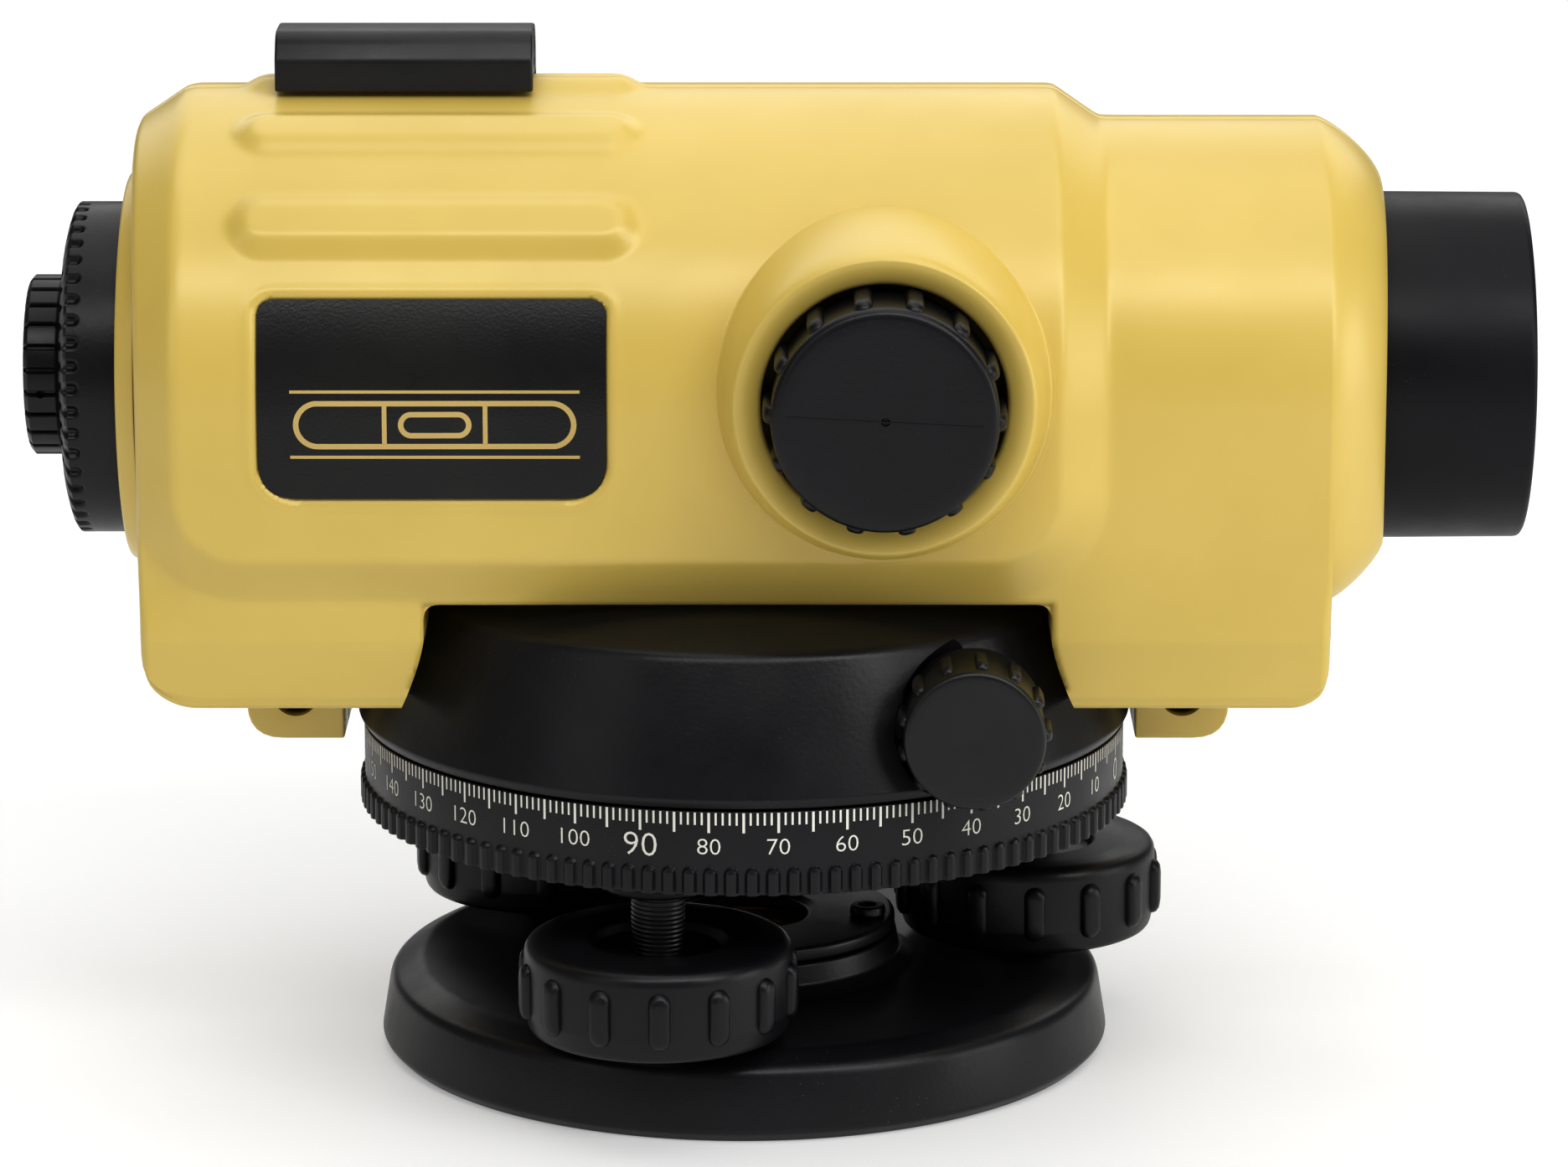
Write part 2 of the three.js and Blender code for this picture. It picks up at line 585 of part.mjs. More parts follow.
add('dioptre_ring', union(dioptreCore, cut(solid(dioptreRibs), dioptreBore)), BLACK);
add('eyepiece_lens', turned('x', [
  [0, -90.6], [5.6, -89.6], [5.6, -86], [0, -85.2],
], 16, opticalAxis), GLASS);

// ---------- compensator ----------
const frameSides = [-1, 1].map((side) => {
  const [y0, y1] = side < 0 ? [-15.4, -13] : [13, 15.4];
  return block(-44, -12, y0, y1, 71.3, 106);
});
add('compensator_frame', union(
  ...frameSides, block(-44, -12, -15.4, 15.4, 71.3, 74), block(-32, -24, -15.4, 15.4, 103, 106),
), ALUMINIUM);
const PENDULUM_PIVOT = 101;
const pendulumYoke = union(
  block(-38, -18, -10.5, 10.5, 81, 84), block(-38, -18, -10.5, -8.5, 81, 98),
  block(-38, -18, 8.5, 10.5, 81, 98), block(-30, -26, -10.5, 10.5, 95, PENDULUM_PIVOT + 0.6),
  block(-31, -25, -4, 4, 78, 84),
);
add('pendulum', pendulumYoke, BRASS);
add('pendulum_prism', sidePlate([[-37, 84.4], [-19, 84.4], [-28, 93.6]], -8, 8), GLASS);
add('damping_magnet', cut(block(-36, -20, -9, 9, 74.3, 80), block(-33, -23, -6, 6, 76, 82)), SATIN_BLACK);

// ---------- circular vial on the far side ----------
const vialAt = [VIAL_X, VIAL_Y, 0];
const vialCup = turned('z', [[0, 72], [9.4, 72], [10.4, 73], [10.4, 81.4], [8.8, 81.4], [8.8, 74], [0, 74]],
  22, vialAt);
const vialArm = cut(block(-40, -20, 37.6, 46, 73, 79.4), rod('z', 9.6, 70, 90, vialAt));
const hingeAt = [-17.6, 0, 85];
const hingeLugs = [[41.2, 43.4], [56.6, 58.8]].map(([y0, y1]) => union(
  block(-23, -16, y0, y1, 74, 81), block(-19.8, -15.4, y0, y1, 79, 87),
));
const hingeHole = rod('y', 1.6, 40, 60, hingeAt, 8);
const lugBridge = cut(block(-24, -19, 41.2, 58.8, 74, 78), rod('z', 9.6, 70, 90, vialAt));
add('vial_holder', cut(union(vialCup, vialArm, ...hingeLugs, lugBridge), hingeHole), BLACK);
add('vial_glass', turned('z', [[0, 74.3], [8.5, 74.3], [8.5, 81], [7.4, 82], [0, 82.8]], 18, vialAt), GLASS);

// Mirror flap, leaning back over the vial at 45 degrees from a hinge along Y.
function flap(body) {
  return body.rotate([0, 45, 0]).translate(hingeAt);
}
const flapPlate = union(
  block(-23, -1, 44, 56, 0.9, 2.4), block(-3.4, 1.2, 44, 56, -1.2, 2.4), rod('y', 1.2, 41, 59),
);
const flapRim = cut(block(-24, -3, 43.8, 56.2, -0.6, 2.4), block(-23, -4, 45, 55, -2, 0.9));
add('mirror_flap', flap(union(flapPlate, flapRim)), BLACK);
add('vial_mirror', flap(block(-22.6, -4.4, 45.4, 54.6, -0.3, 0.6)), MIRROR);

export default level;
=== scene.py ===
"""Automatic level: the fine visual model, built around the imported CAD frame. Lengths are in millimetres."""
import math
import bmesh
import bpy
import numpy as np
from mathutils import Matrix, Vector


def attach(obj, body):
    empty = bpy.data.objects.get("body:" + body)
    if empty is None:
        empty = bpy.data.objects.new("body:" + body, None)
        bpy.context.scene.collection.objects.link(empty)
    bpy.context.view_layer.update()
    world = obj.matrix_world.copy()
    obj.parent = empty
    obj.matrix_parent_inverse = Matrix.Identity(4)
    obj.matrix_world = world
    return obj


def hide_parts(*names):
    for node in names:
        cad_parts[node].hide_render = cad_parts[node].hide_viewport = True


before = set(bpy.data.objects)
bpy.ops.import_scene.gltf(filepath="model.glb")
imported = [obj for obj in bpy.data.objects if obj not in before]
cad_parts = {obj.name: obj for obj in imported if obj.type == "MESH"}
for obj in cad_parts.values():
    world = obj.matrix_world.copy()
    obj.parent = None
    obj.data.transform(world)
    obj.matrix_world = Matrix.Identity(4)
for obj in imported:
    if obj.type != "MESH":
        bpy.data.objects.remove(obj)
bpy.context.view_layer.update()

MM = 0.001
TEL_Z = 90.7  # height of the telescope's axis
AXIS_AT = (0.0, 0.0, TEL_Z)
FOOT_R, FOOT_ANGLES = 39.07, (-15.9, 104.1, 224.1)  # the foot screws round the vertical axis
FOOT_BODIES = ("front_foot_screw", "right_foot_screw", "rear_foot_screw")
SCREW_R, SCREW_ANGLES = 16.6, (80, 200, 320)  # the screws of the clamp plate


# ---------------------------------------------------------------- mesh helpers

def link(obj):
    bpy.context.scene.collection.objects.link(obj)
    return obj


def blank(name, verts, faces):
    """A bare mesh object, still to be cut or dressed."""
    mesh = bpy.data.meshes.new(name)
    mesh.from_pydata((np.asarray(verts, float) * MM).tolist(), [], [tuple(int(i) for i in f) for f in faces])
    mesh.update()
    return link(bpy.data.objects.new(name, mesh))


def dress(obj, material, body, slot, replaces=(), sharp=35.0):
    """Material, smooth shading that keeps the edges sharper than an angle, and the body it rides on."""
    mesh = obj.data
    mesh.materials.clear()
    mesh.materials.append(material)
    mesh.polygons.foreach_set("use_smooth", [True] * len(mesh.polygons))
    mesh.set_sharp_from_angle(angle=math.radians(sharp))
    mesh.update()
    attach(obj, body)
    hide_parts(*replaces)


def make(name, verts, faces, *look, **more):
    """A finished piece from its mesh; what follows the mesh is what dress takes after the object."""
    dress(blank(name, verts, faces), *look, **more)


def merge(parts):
    """Several (verts, faces) joined into one."""
    verts, faces, start = [], [], 0
    for v, f in parts:
        v = np.asarray(v, float)
        verts.append(v)
        faces.extend([tuple(i + start for i in face) for face in f])
        start += len(v)
    return np.concatenate(verts), faces


def grid(nu, nv, wrap_u=False, wrap_v=False):
    """Quad indices over nu x nv points, v fastest."""
    faces = []
    for i in range(nu if wrap_u else nu - 1):
        for j in range(nv if wrap_v else nv - 1):
            a, b = i * nv + j, i * nv + (j + 1) % nv
            c, d = ((i + 1) % nu) * nv + (j + 1) % nv, ((i + 1) % nu) * nv + j
            faces.append((a, b, c, d))
    return faces


def ring_face(row, count):
    """The polygon that closes a stack of rings of count points at one row."""
    return tuple(range(row * count, (row + 1) * count))


def fillet(corners, steps=5):
    """Closed outline of (a, b, radius) corners, each rounded; a corner without a radius stays sharp."""
    points = [np.array(c[:2], float) for c in corners]
    out = []
    for i, corner in enumerate(corners):
        p, q, r = points[i - 1], points[i], points[(i + 1) % len(points)]
        radius = corner[2] if len(corner) > 2 else 0
        u, v = p - q, r - q
        lu, lv = np.linalg.norm(u), np.linalg.norm(v)
        if radius <= 0 or lu == 0 or lv == 0:
            out.append(q)
            continue
        u, v = u / lu, v / lv
        half = math.acos(np.clip(u @ v, -1, 1)) / 2
        if half > math.radians(88):
            out.append(q)
            continue
        reach = min(radius / math.tan(half), 0.48 * lu, 0.48 * lv)
        a, b = q + u * reach, q + v * reach
        for t in np.linspace(0, 1, steps):
            out.append((1 - t) ** 2 * a + 2 * t * (1 - t) * q + t * t * b)
    return np.array(out)


def about(axis, r, along, angle, at=(0, 0, 0)):
    """Points at radius r, position along an axis and angle about it."""
    c, s = r * np.cos(angle), r * np.sin(angle)
    order = {"z": (c, s, along), "x": (along, c, s), "y": (s, along, c)}[axis]
    return np.stack(np.broadcast_arrays(*order), -1).reshape(-1, 3) + np.array(at, float)


def lathe(axis, corners, segments=96, at=(0, 0, 0), steps=5, relief=None):
    """Closed profile of (radius, along, fillet) turned about an axis.

    relief(along, radius, angle) adds to the radius.
    """
    profile = fillet(corners, steps)
    angles = np.linspace(0, 2 * math.pi, segments, endpoint=False)
    r = np.repeat(profile[:, :1], segments, 1)
    along = np.repeat(profile[:, 1:], segments, 1)
    angle = np.repeat(angles[None, :], len(profile), 0)
    if relief is not None:
        r = r + relief(along, r, angle)
    return about(axis, r, along, angle, at), grid(len(profile), segments, True, True)


def turned(axis, profile, at=(0, 0, 0), segments=96):
    """Solid of revolution without a bore, from (radius, along) stations; flat at both ends."""
    angles = np.linspace(0, 2 * math.pi, segments, endpoint=False)
    rings = [about(axis, radius, level, angles, at) for radius, level in profile]
    ends = [ring_face(0, segments)[::-1], ring_face(len(rings) - 1, segments)]
    return np.concatenate(rings), grid(len(rings), segments, False, True) + ends


def rod(axis, radius, low, high, at=(0, 0, 0), segments=96):
    return turned(axis, [(radius, low), (radius, high)], at, segments)


def prism(outline, low, high, axis="z", edge=0.0, steps=3):
    """Closed outline of (a, b) pushed along an axis, with its two rims rounded by edge."""
    outline = np.asarray(outline, float)
    middle = outline.mean(0)
    reach = np.linalg.norm(outline - middle, axis=1).mean()
    rings = []
    for end, sign in ((low, 1), (high, -1)):
        turns = np.linspace(0, math.pi / 2, steps + 1) if edge else [math.pi / 2]
        ring = [(1 - edge * (1 - math.sin(t)) / reach, end + sign * edge * (1 - math.cos(t))) for t in turns]
        rings += ring if sign > 0 else ring[::-1]
    pts = []
    for scale, level in rings:
        flat = middle + (outline - middle) * scale
        level = np.full(len(flat), level)
        order = {"z": (flat[:, 0], flat[:, 1], level), "x": (level, flat[:, 0], flat[:, 1]),
                 "y": (flat[:, 0], level, flat[:, 1])}[axis]
        pts.append(np.stack(order, -1))
    n = len(outline)
    ends = [ring_face(0, n)[::-1], ring_face(len(rings) - 1, n)]
    return np.concatenate(pts), grid(len(rings), n, False, True) + ends


def rounded_box(x0, x1, y0, y1, z0, z1, radius=1.0, edge=0.4):
    """Box whose upright edges have one radius and whose rims have another."""
    outline = fillet([(x0, y0, radius), (x1, y0, radius), (x1, y1, radius), (x0, y1, radius)])
    return prism(outline, z0, z1, "z", edge)


def pill(length, width, proud, count=28, sink=0.6):
    """Rounded raised rib: rings of (across, along, height) from its foot to its top."""
    half, run = width / 2, length / 2 - width / 2
    t = np.linspace(0, 2 * math.pi, count, endpoint=False)
    rings = []
    for scale, height in ((1.04, -sink), (1.0, 0.12), (0.93, 0.55), (0.76, 0.86), (0.5, 0.98), (0.12, 1.0)):
        a = scale * half * np.cos(t)
        b = np.where(np.sin(t) >= 0, run, -run) * (0.3 + 0.7 * scale) + scale * half * np.sin(t)
        rings.append(np.stack([a, b, np.full(count, height * proud if height > 0 else height)], -1))
    return np.concatenate(rings), grid(len(rings), count, False, True) + [ring_face(len(rings) - 1, count)]


def pills_round(axis, radius, middle, count, length, width, proud, at=(0, 0, 0), phase=0.0):
    """Ribs spaced round a cylinder, running along its axis."""
    base, faces = pill(length, width, proud)
    parts = []
    for i in range(count):
        angle = phase + 2 * math.pi * i / count + base[:, 0] / radius
        parts.append((about(axis, radius + base[:, 2], middle + base[:, 1], angle, at), faces))
    return merge(parts)


def mirror_y(part):
    v, f = part
    v = np.array(v, float)
    v[:, 1] *= -1
    return v, [tuple(reversed(face)) for face in f]


def turn_z(part, degrees):
    v, f = part
    a = math.radians(degrees)
    m = np.array([[math.cos(a), -math.sin(a), 0], [math.sin(a), math.cos(a), 0], [0, 0, 1]])
    return np.asarray(v, float) @ m.T, f


def polar(radius, degrees):
    """Place at a radius from the vertical axis, in degrees from the near side."""
    a = math.radians(degrees)
    return radius * math.sin(a), -radius * math.cos(a)


def zigzag(turns):
    """Triangle wave between 0 and 1 with a period of one turn."""
    return np.abs((turns % 1) - 0.5) * 2


def fix_normals(obj):
    bm = bmesh.new()
    bm.from_mesh(obj.data)
    bmesh.ops.recalc_face_normals(bm, faces=bm.faces)
    if bm.calc_volume(signed=True) < 0:
        bmesh.ops.reverse_faces(bm, faces=bm.faces)
    bm.to_mesh(obj.data)
    bm.free()


def carve(obj, *parts, operation="DIFFERENCE"):
    """Boolean cuts (or joins), applied to the mesh one after another."""
    fix_normals(obj)
    for part in parts:
        tool = blank("tool", *part)
        fix_normals(tool)
        modifier = obj.modifiers.new("cut", "BOOLEAN")
        modifier.operation, modifier.solver, modifier.object = operation, "EXACT", tool
        graph = bpy.context.evaluated_depsgraph_get()
        done = bpy.data.meshes.new_from_object(obj.evaluated_get(graph))
        obj.modifiers.clear()
        old = obj.data
        obj.data = done
        bpy.data.meshes.remove(old)
        bpy.data.objects.remove(tool)


# ---------------------------------------------------------------- materials

def node_material(name):
    material = bpy.data.materials.new(name)
    material.use_nodes = True
    tree = material.node_tree
    return material, tree, tree.nodes["Principled BSDF"]


def noise(tree, scale, detail=4.0, kind="ShaderNodeTexNoise"):
    coords = tree.nodes.new("ShaderNodeTexCoord")
    texture = tree.nodes.new(kind)
    texture.inputs["Scale"].default_value = scale
    if kind == "ShaderNodeTexNoise":
        texture.inputs["Detail"].default_value = detail
        texture.inputs["Roughness"].default_value = 0.55
    tree.links.new(coords.outputs["Object"], texture.inputs["Vector"])
    return texture


def ramp(tree, source, stops):
    node = tree.nodes.new("ShaderNodeValToRGB")
    elements = node.color_ramp.elements
    while len(elements) < len(stops):
        elements.new(0.5)
    for element, (position, value) in zip(elements, stops):
        element.position = position
        element.color = (*value, 1) if isinstance(value, tuple) else (value, value, value, 1)
    tree.links.new(source, node.inputs["Fac"])
    return node.outputs["Color"]


def mix(tree, factor, a, b):
    node = tree.nodes.new("ShaderNodeMix")
    node.data_type = "RGBA"
    for socket, value in ((node.inputs["Factor"], factor), (node.inputs[6], a), (node.inputs[7], b)):
        if isinstance(value, bpy.types.NodeSocket):
            tree.links.new(value, socket)
        else:
            socket.default_value = (*value, 1) if isinstance(value, tuple) else value
    return node.outputs[2]


def bump(tree, bsdf, *layers):
    """Chain of bump nodes from (height socket, strength, distance in metres)."""
    last = None
    for height, strength, distance in layers:
        node = tree.nodes.new("ShaderNodeBump")
        node.inputs["Strength"].default_value = strength
        node.inputs["Distance"].default_value = distance
        tree.links.new(height, node.inputs["Height"])
        if last:
            tree.links.new(last, node.inputs["Normal"])
        last = node.outputs["Normal"]
    tree.links.new(last, bsdf.inputs["Normal"])


def plastic(name, low, high, rough, grain, grain_depth, dust=None, coat=0.0, spec=0.5):
    """Moulded plastic: mottled colour, uneven gloss, fine grain, and dust as (size of the specks, colour)."""
    material, tree, bsdf = node_material(name)
    broad = noise(tree, 38.0, 3.0)
    colour = ramp(tree, broad.outputs["Fac"], [(0.32, low), (0.68, high)])
    if dust:
        specks = noise(tree, 1350.0, kind="ShaderNodeTexVoronoi")
        near = ramp(tree, specks.outputs["Distance"], [(0.0, 1.0), (dust[0], 0.0)])
        patch = ramp(tree, noise(tree, 60.0).outputs["Fac"], [(0.5, 0.0), (0.7, 1.0)])
        where = tree.nodes.new("ShaderNodeMath")
        where.operation = "MULTIPLY"
        tree.links.new(near, where.inputs[0])
        tree.links.new(patch, where.inputs[1])
        colour = mix(tree, where.outputs[0], colour, dust[1])
    tree.links.new(colour, bsdf.inputs["Base Color"])
    gloss = ramp(tree, noise(tree, 90.0, 6.0).outputs["Fac"], [(0.3, rough[0]), (0.7, rough[1])])
    tree.links.new(gloss, bsdf.inputs["Roughness"])
    fine = noise(tree, grain, 2.0)
    wave = noise(tree, 55.0, 2.0)
    bump(tree, bsdf, (wave.outputs["Fac"], 0.12, 0.0003), (fine.outputs["Fac"], 0.35, grain_depth))
    bsdf.inputs["Specular IOR Level"].default_value = spec
    if coat:
        bsdf.inputs["Coat Weight"].default_value = coat
        bsdf.inputs["Coat Roughness"].default_value = 0.25
    return material


def metal(name, low, high, rough=(0.2, 0.38), stretch=(60, 60, 2500)):
    """Turned or machined metal with fine lines along one direction."""
    material, tree, bsdf = node_material(name)
    bsdf.inputs["Metallic"].default_value = 1.0
    coords = tree.nodes.new("ShaderNodeTexCoord")
    mapping = tree.nodes.new("ShaderNodeMapping")
    mapping.inputs["Scale"].default_value = stretch
    lines = tree.nodes.new("ShaderNodeTexNoise")
    lines.inputs["Scale"].default_value = 1.0
    lines.inputs["Detail"].default_value = 3.0
    tree.links.new(coords.outputs["Object"], mapping.inputs["Vector"])
    tree.links.new(mapping.outputs["Vector"], lines.inputs["Vector"])
    for socket, (dull, bright) in (("Base Color", (low, high)), ("Roughness", rough)):
        value = ramp(tree, lines.outputs["Fac"], [(0.3, dull), (0.7, bright)])
        tree.links.new(value, bsdf.inputs[socket])
    bump(tree, bsdf, (lines.outputs["Fac"], 0.25, 0.00003))
    return material


def glass(name, tint, coating):
    """Clear optical glass with a faint coating colour toward grazing angles."""
    material, tree, bsdf = node_material(name)
    weight = tree.nodes.new("ShaderNodeLayerWeight")
    weight.inputs["Blend"].default_value = 0.35
    haze = ramp(tree, noise(tree, 120.0).outputs["Fac"], [(0.4, 0.02), (0.8, 0.06)])
    tree.links.new(haze, bsdf.inputs["Roughness"])
    tree.links.new(mix(tree, weight.outputs["Facing"], tint, coating), bsdf.inputs["Base Color"])
    bsdf.inputs["Transmission Weight"].default_value = 1.0
    bsdf.inputs["IOR"].default_value = 1.5
    return material


YELLOW = plastic("yellow_plastic", (0.655, 0.5, 0.132), (0.695, 0.533, 0.15), (0.34, 0.44), 1100.0, 0.00003,
                 coat=0.3, spec=0.6)
BLACK = plastic("black_plastic", (0.006, 0.006, 0.008), (0.010, 0.010, 0.013), (0.3, 0.42), 1500.0, 0.00006,
                dust=(0.09, (0.34, 0.33, 0.31)), spec=0.48)
SATIN = plastic("satin_black", (0.006, 0.006, 0.008), (0.010, 0.010, 0.013), (0.34, 0.46), 900.0, 0.00005,
                dust=(0.08, (0.3, 0.3, 0.29)), spec=0.3)
RUBBED = plastic("rubbed_black", (0.009, 0.009, 0.011), (0.016, 0.016, 0.017), (0.3, 0.42), 1400.0, 0.00005,
                 dust=(0.07, (0.34, 0.33, 0.31)), spec=0.55)
LABEL = plastic("label_black", (0.010, 0.009, 0.009), (0.017, 0.016, 0.015), (0.3, 0.4), 2600.0, 0.0001,
                dust=(0.05, (0.3, 0.28, 0.25)), spec=0.5)
PRINT = plastic("label_print", (0.56, 0.42, 0.16), (0.62, 0.47, 0.19), (0.4, 0.5), 1500.0, 0.00002)
WHITE = plastic("scale_white", (0.68, 0.67, 0.6), (0.82, 0.81, 0.74), (0.45, 0.6), 1500.0, 0.00002)
STEEL = metal("turned_steel", (0.42, 0.42, 0.43), (0.6, 0.6, 0.61))
BRASS = metal("brass", (0.55, 0.38, 0.14), (0.72, 0.52, 0.22))
DARK_STEEL = metal("dark_steel", (0.035, 0.035, 0.038), (0.08, 0.08, 0.085), (0.26, 0.4))
# Brass with painted shade: its colour is darkened because the tripod insert lies in the shadow of the bore.
SHADED_BRASS = metal("brass_painted_shade", (0.07, 0.05, 0.025), (0.13, 0.09, 0.045), (0.4, 0.55))
ALUMINIUM = metal("aluminium", (0.5, 0.5, 0.51), (0.66, 0.66, 0.67), (0.3, 0.48), (900, 60, 60))
GLASS = glass("coated_glass", (0.93, 0.97, 0.95), (0.62, 0.5, 0.78))
VIAL_FLUID = glass("vial_fluid", (0.72, 0.88, 0.35), (0.8, 0.92, 0.5))
MIRROR = metal("mirror", (0.86, 0.87, 0.88), (0.9, 0.9, 0.91), (0.02, 0.05), (20, 20, 20))


# ---------------------------------------------------------------- yellow housing

HALF, CROWN = 33.0, 32.4  # half width of the skirt, and height of the crown above the telescope's axis
LEFT, RIGHT, END = -76.2, 74.5, 80.9  # rear end, front of the skirt, front of the tail round the barrel
BOW_LEFT, BOW_RIGHT = 1.7, 1.4  # how far the two ends dome outward
SKIRT_Z, CREASE_Z, BELLY_Z = 52.3, 61.6, 65.0  # skirt's bottom, start of its lean, tail's bottom
WALL = 2.2
PROUD = 4.2  # how far the raised middle stands out of the skirt
FOCUS_AT = (17.7, 0.0, 94.3)
PLATE = (-60.5, -16.9, 81.1, 106.5)  # nameplate: ends in x, then lower and upper edge along the skin
RIB_X, RIB_HALF, RIB_WIDE, RIB_TALL = -38.65, 26.35, 5.0, 1.4
DOOR_X, DOOR_HALF, DOOR_TOP = -0.6, 39.7, 66.4  # opening in the skirt over the drum
TAIL_RADIUS, TAIL_DROP, TAIL_POWER = 7.0, 7.4, 1.35  # rounding of the tail's front edge
SKIRT_EDGE, REAR_EDGE, REAR_REACH = 1.3, 0.7, 6.0


def smooth(low, high, value):
    """0 to 1 between two values, level at both."""
    t = np.clip((value - low) / (high - low), 0, 1)
    return t * t * (3 - 2 * t)


def soft_ramp(t, k=0.1):
    """0 to 1 ramp with rounded ends."""
    return 0.5 * (1 + np.hypot(t, k) - np.hypot(t - 1, k))


def corner_lift(distance, radius):
    """How far a rounded corner lies inside the square one, at a distance from its end."""
    d = np.clip(distance, 0, radius)
    return radius - np.sqrt(radius * radius - (radius - d) ** 2)


def rounded_rect(x, u, x0, x1, u0, u1, r_low, r_high):
    """Signed distance to a rectangle with different lower and upper corner radii; negative inside."""
    mx, mu = (x0 + x1) / 2, (u0 + u1) / 2
    radius = np.where(u < mu, r_low, r_high)
    qx = np.abs(x - mx) - (x1 - x0) / 2 + radius
    qu = np.abs(u - mu) - (u1 - u0) / 2 + radius
    return np.hypot(np.clip(qx, 0, None), np.clip(qu, 0, None)) + np.minimum(np.maximum(qx, qu), 0) - radius


def sag(u):
    """How far the lower side of the raised middle curves in, at a height u along the skin."""
    return 0.0015 * np.clip(88 - u, 0, 21) ** 2


def bulge(x, u):
    """How far the raised middle of the housing stands out of the skirt."""
    slope, radius = 6.0, 14.5
    inside = -rounded_rect(x, u, -77.4, 46.0, 66.9, 400.0, radius, radius)
    return soft_ramp(inside / slope, 0.07) * (PROUD - sag(u))


RIB_U = [TEL_Z + math.radians(up) * (CROWN + PROUD) for up in (40.3, 65.0, 90.0)]


def ribs(x, u):
    """The three long raised ribs of the crown."""
    height = np.zeros_like(x)
    for middle in RIB_U:
        dx = np.clip(np.abs(x - RIB_X) - RIB_HALF + RIB_WIDE, 0, None)
        reach = np.hypot(dx, u - middle)
        height = np.maximum(height, RIB_TALL * (1 - smooth(0.3, 1.0, reach / (RIB_WIDE + 0.3))))
    return height


def label_relief(x, u):
    """Recess for the nameplate with a fine raised lip round it."""
    x0, x1, u0, u1 = PLATE
    gap, depth, lip = 0.4, 0.7, 0.16
    d = rounded_rect(x, u, x0 - gap, x1 + gap, u0 - gap, u1 + gap, 5.2, 2.5)
    return -depth * (1 - smooth(-0.35, 0.15, d)) + lip * np.exp(-(((d - 0.75) / 0.45) ** 2))


def door_half(z):
    """Half width of the opening in the skirt at a height."""
    return DOOR_HALF + 3.1 * (np.clip(62 - z, 0, 10) / 9.7) ** 1.4


def door_edge(x, z):
    """Rounds the outside of the skirt along the opening."""
    radius = 0.7
    side = np.abs(x - DOOR_X) - door_half(z)
    top = z - DOOR_TOP
    outside = np.where(side > 0, np.where(top > 0, np.hypot(side, top), side), top)
    d = np.clip(outside, 0, radius)
    return -(radius - np.sqrt(np.clip(0.49 - (radius - d) ** 2, 0, None)))


def round_ends(d, x, z, inset, tail):
    """Draws the skin in where the housing rounds over at its ends."""
    gap = END - inset - x
    if gap < TAIL_RADIUS:
        t = (TAIL_RADIUS - gap) / TAIL_RADIUS
        d = d - TAIL_DROP * (1 - max(0.0, 1 - t ** TAIL_POWER) ** (1 / TAIL_POWER))
    if inset:
        return d
    above = smooth(62, 70, z)
    for gap in (x - LEFT, RIGHT - x):
        if gap < SKIRT_EDGE and not tail:
            d = d - (1 - above) * (SKIRT_EDGE - math.sqrt(max(0.0, 1.69 - (SKIRT_EDGE - gap) ** 2)))
    gap = x - LEFT
    if gap < REAR_REACH:
        edge = REAR_EDGE - math.sqrt(max(0.0, 0.49 - max(0.0, REAR_EDGE - gap) ** 2))
        d = d - above * (0.9 * (REAR_REACH - gap) / REAR_REACH + edge)
    return d


def section(x, inset, near):
    """Half ring of the housing at station x, from under the middle to the crown: x, half width and height.

    inset is 0 for the skin and the wall's thickness for the hollow; near is 1 on the side with the nameplate.
    """
    tail = x > RIGHT - inset
    if tail:
        base, radius, lean = BELLY_Z + inset, 9.0, 0.0
    else:
        lift = 0.0 if inset else 0.85 * (corner_lift(x - LEFT, 7.0) + corner_lift(RIGHT - x, 5.0))
        base, radius, lean = (SKIRT_Z - 3 if inset else SKIRT_Z + lift), 1.0, 2.0
    flats, turns, sides, arcs = (5, 7, 30, 24) if inset else (5, 7, 84, 120)
    foot = HALF - lean
    flat_w = np.linspace(0, foot - radius, flats, endpoint=False)
    turn = np.linspace(-math.pi / 2, 0, turns)
    side_z = np.linspace(base + radius, TEL_Z, sides + 1)[1:]
    side_w = np.where(side_z < CREASE_Z, HALF - lean * (CREASE_Z - side_z) / (CREASE_Z - SKIRT_Z), HALF)
    if tail:
        side_w = np.full_like(side_z, HALF)
    arc = np.linspace(0, math.pi / 2, arcs + 1)[1:]
    w = np.concatenate([flat_w, foot - radius + radius * np.cos(turn), side_w, HALF * np.cos(arc)])
    z = np.concatenate([np.full(flats, base), base + radius + radius * np.sin(turn), side_z,
                        TEL_Z + CROWN * np.sin(arc)])
    ny = np.concatenate([np.zeros(flats), np.cos(turn), np.ones(sides), np.cos(arc)])
    nz = np.concatenate([-np.ones(flats), np.sin(turn), np.zeros(sides), np.sin(arc)])
    u = np.concatenate([z[:flats + turns + sides], TEL_Z + arc * (CROWN + PROUD)])
    xs = np.full_like(u, x)
    d = bulge(xs, u) * smooth(64, 66, z) - inset
    if inset:
        nz = np.where(z < BELLY_Z - 8, 0, nz)
    else:
        d = d + ribs(xs, u) + label_relief(xs, u) * near + door_edge(xs, z) * (z > 55)
        d = d - 0.3 * np.exp(-((w / 0.5) ** 2)) * (z > 100)  # groove along the parting line of the crown
    d = round_ends(d, x, z, inset, tail)
    w, z = w + d * ny, z + d * nz
    return xs if inset else xs + bow(x, w, z), w, z


def bow(x, w, z):
    """Slight outward dome of the two ends."""
    reach = np.clip(1 - (w / HALF) ** 2, 0, 1) * smooth(62, 76, z)
    right = np.clip((x - 70) / (END - 70), 0, 1) ** 2 * BOW_RIGHT
    left = np.clip((-66 - x) / (-66 - LEFT), 0, 1) ** 2 * BOW_LEFT
    return reach * (right - left)


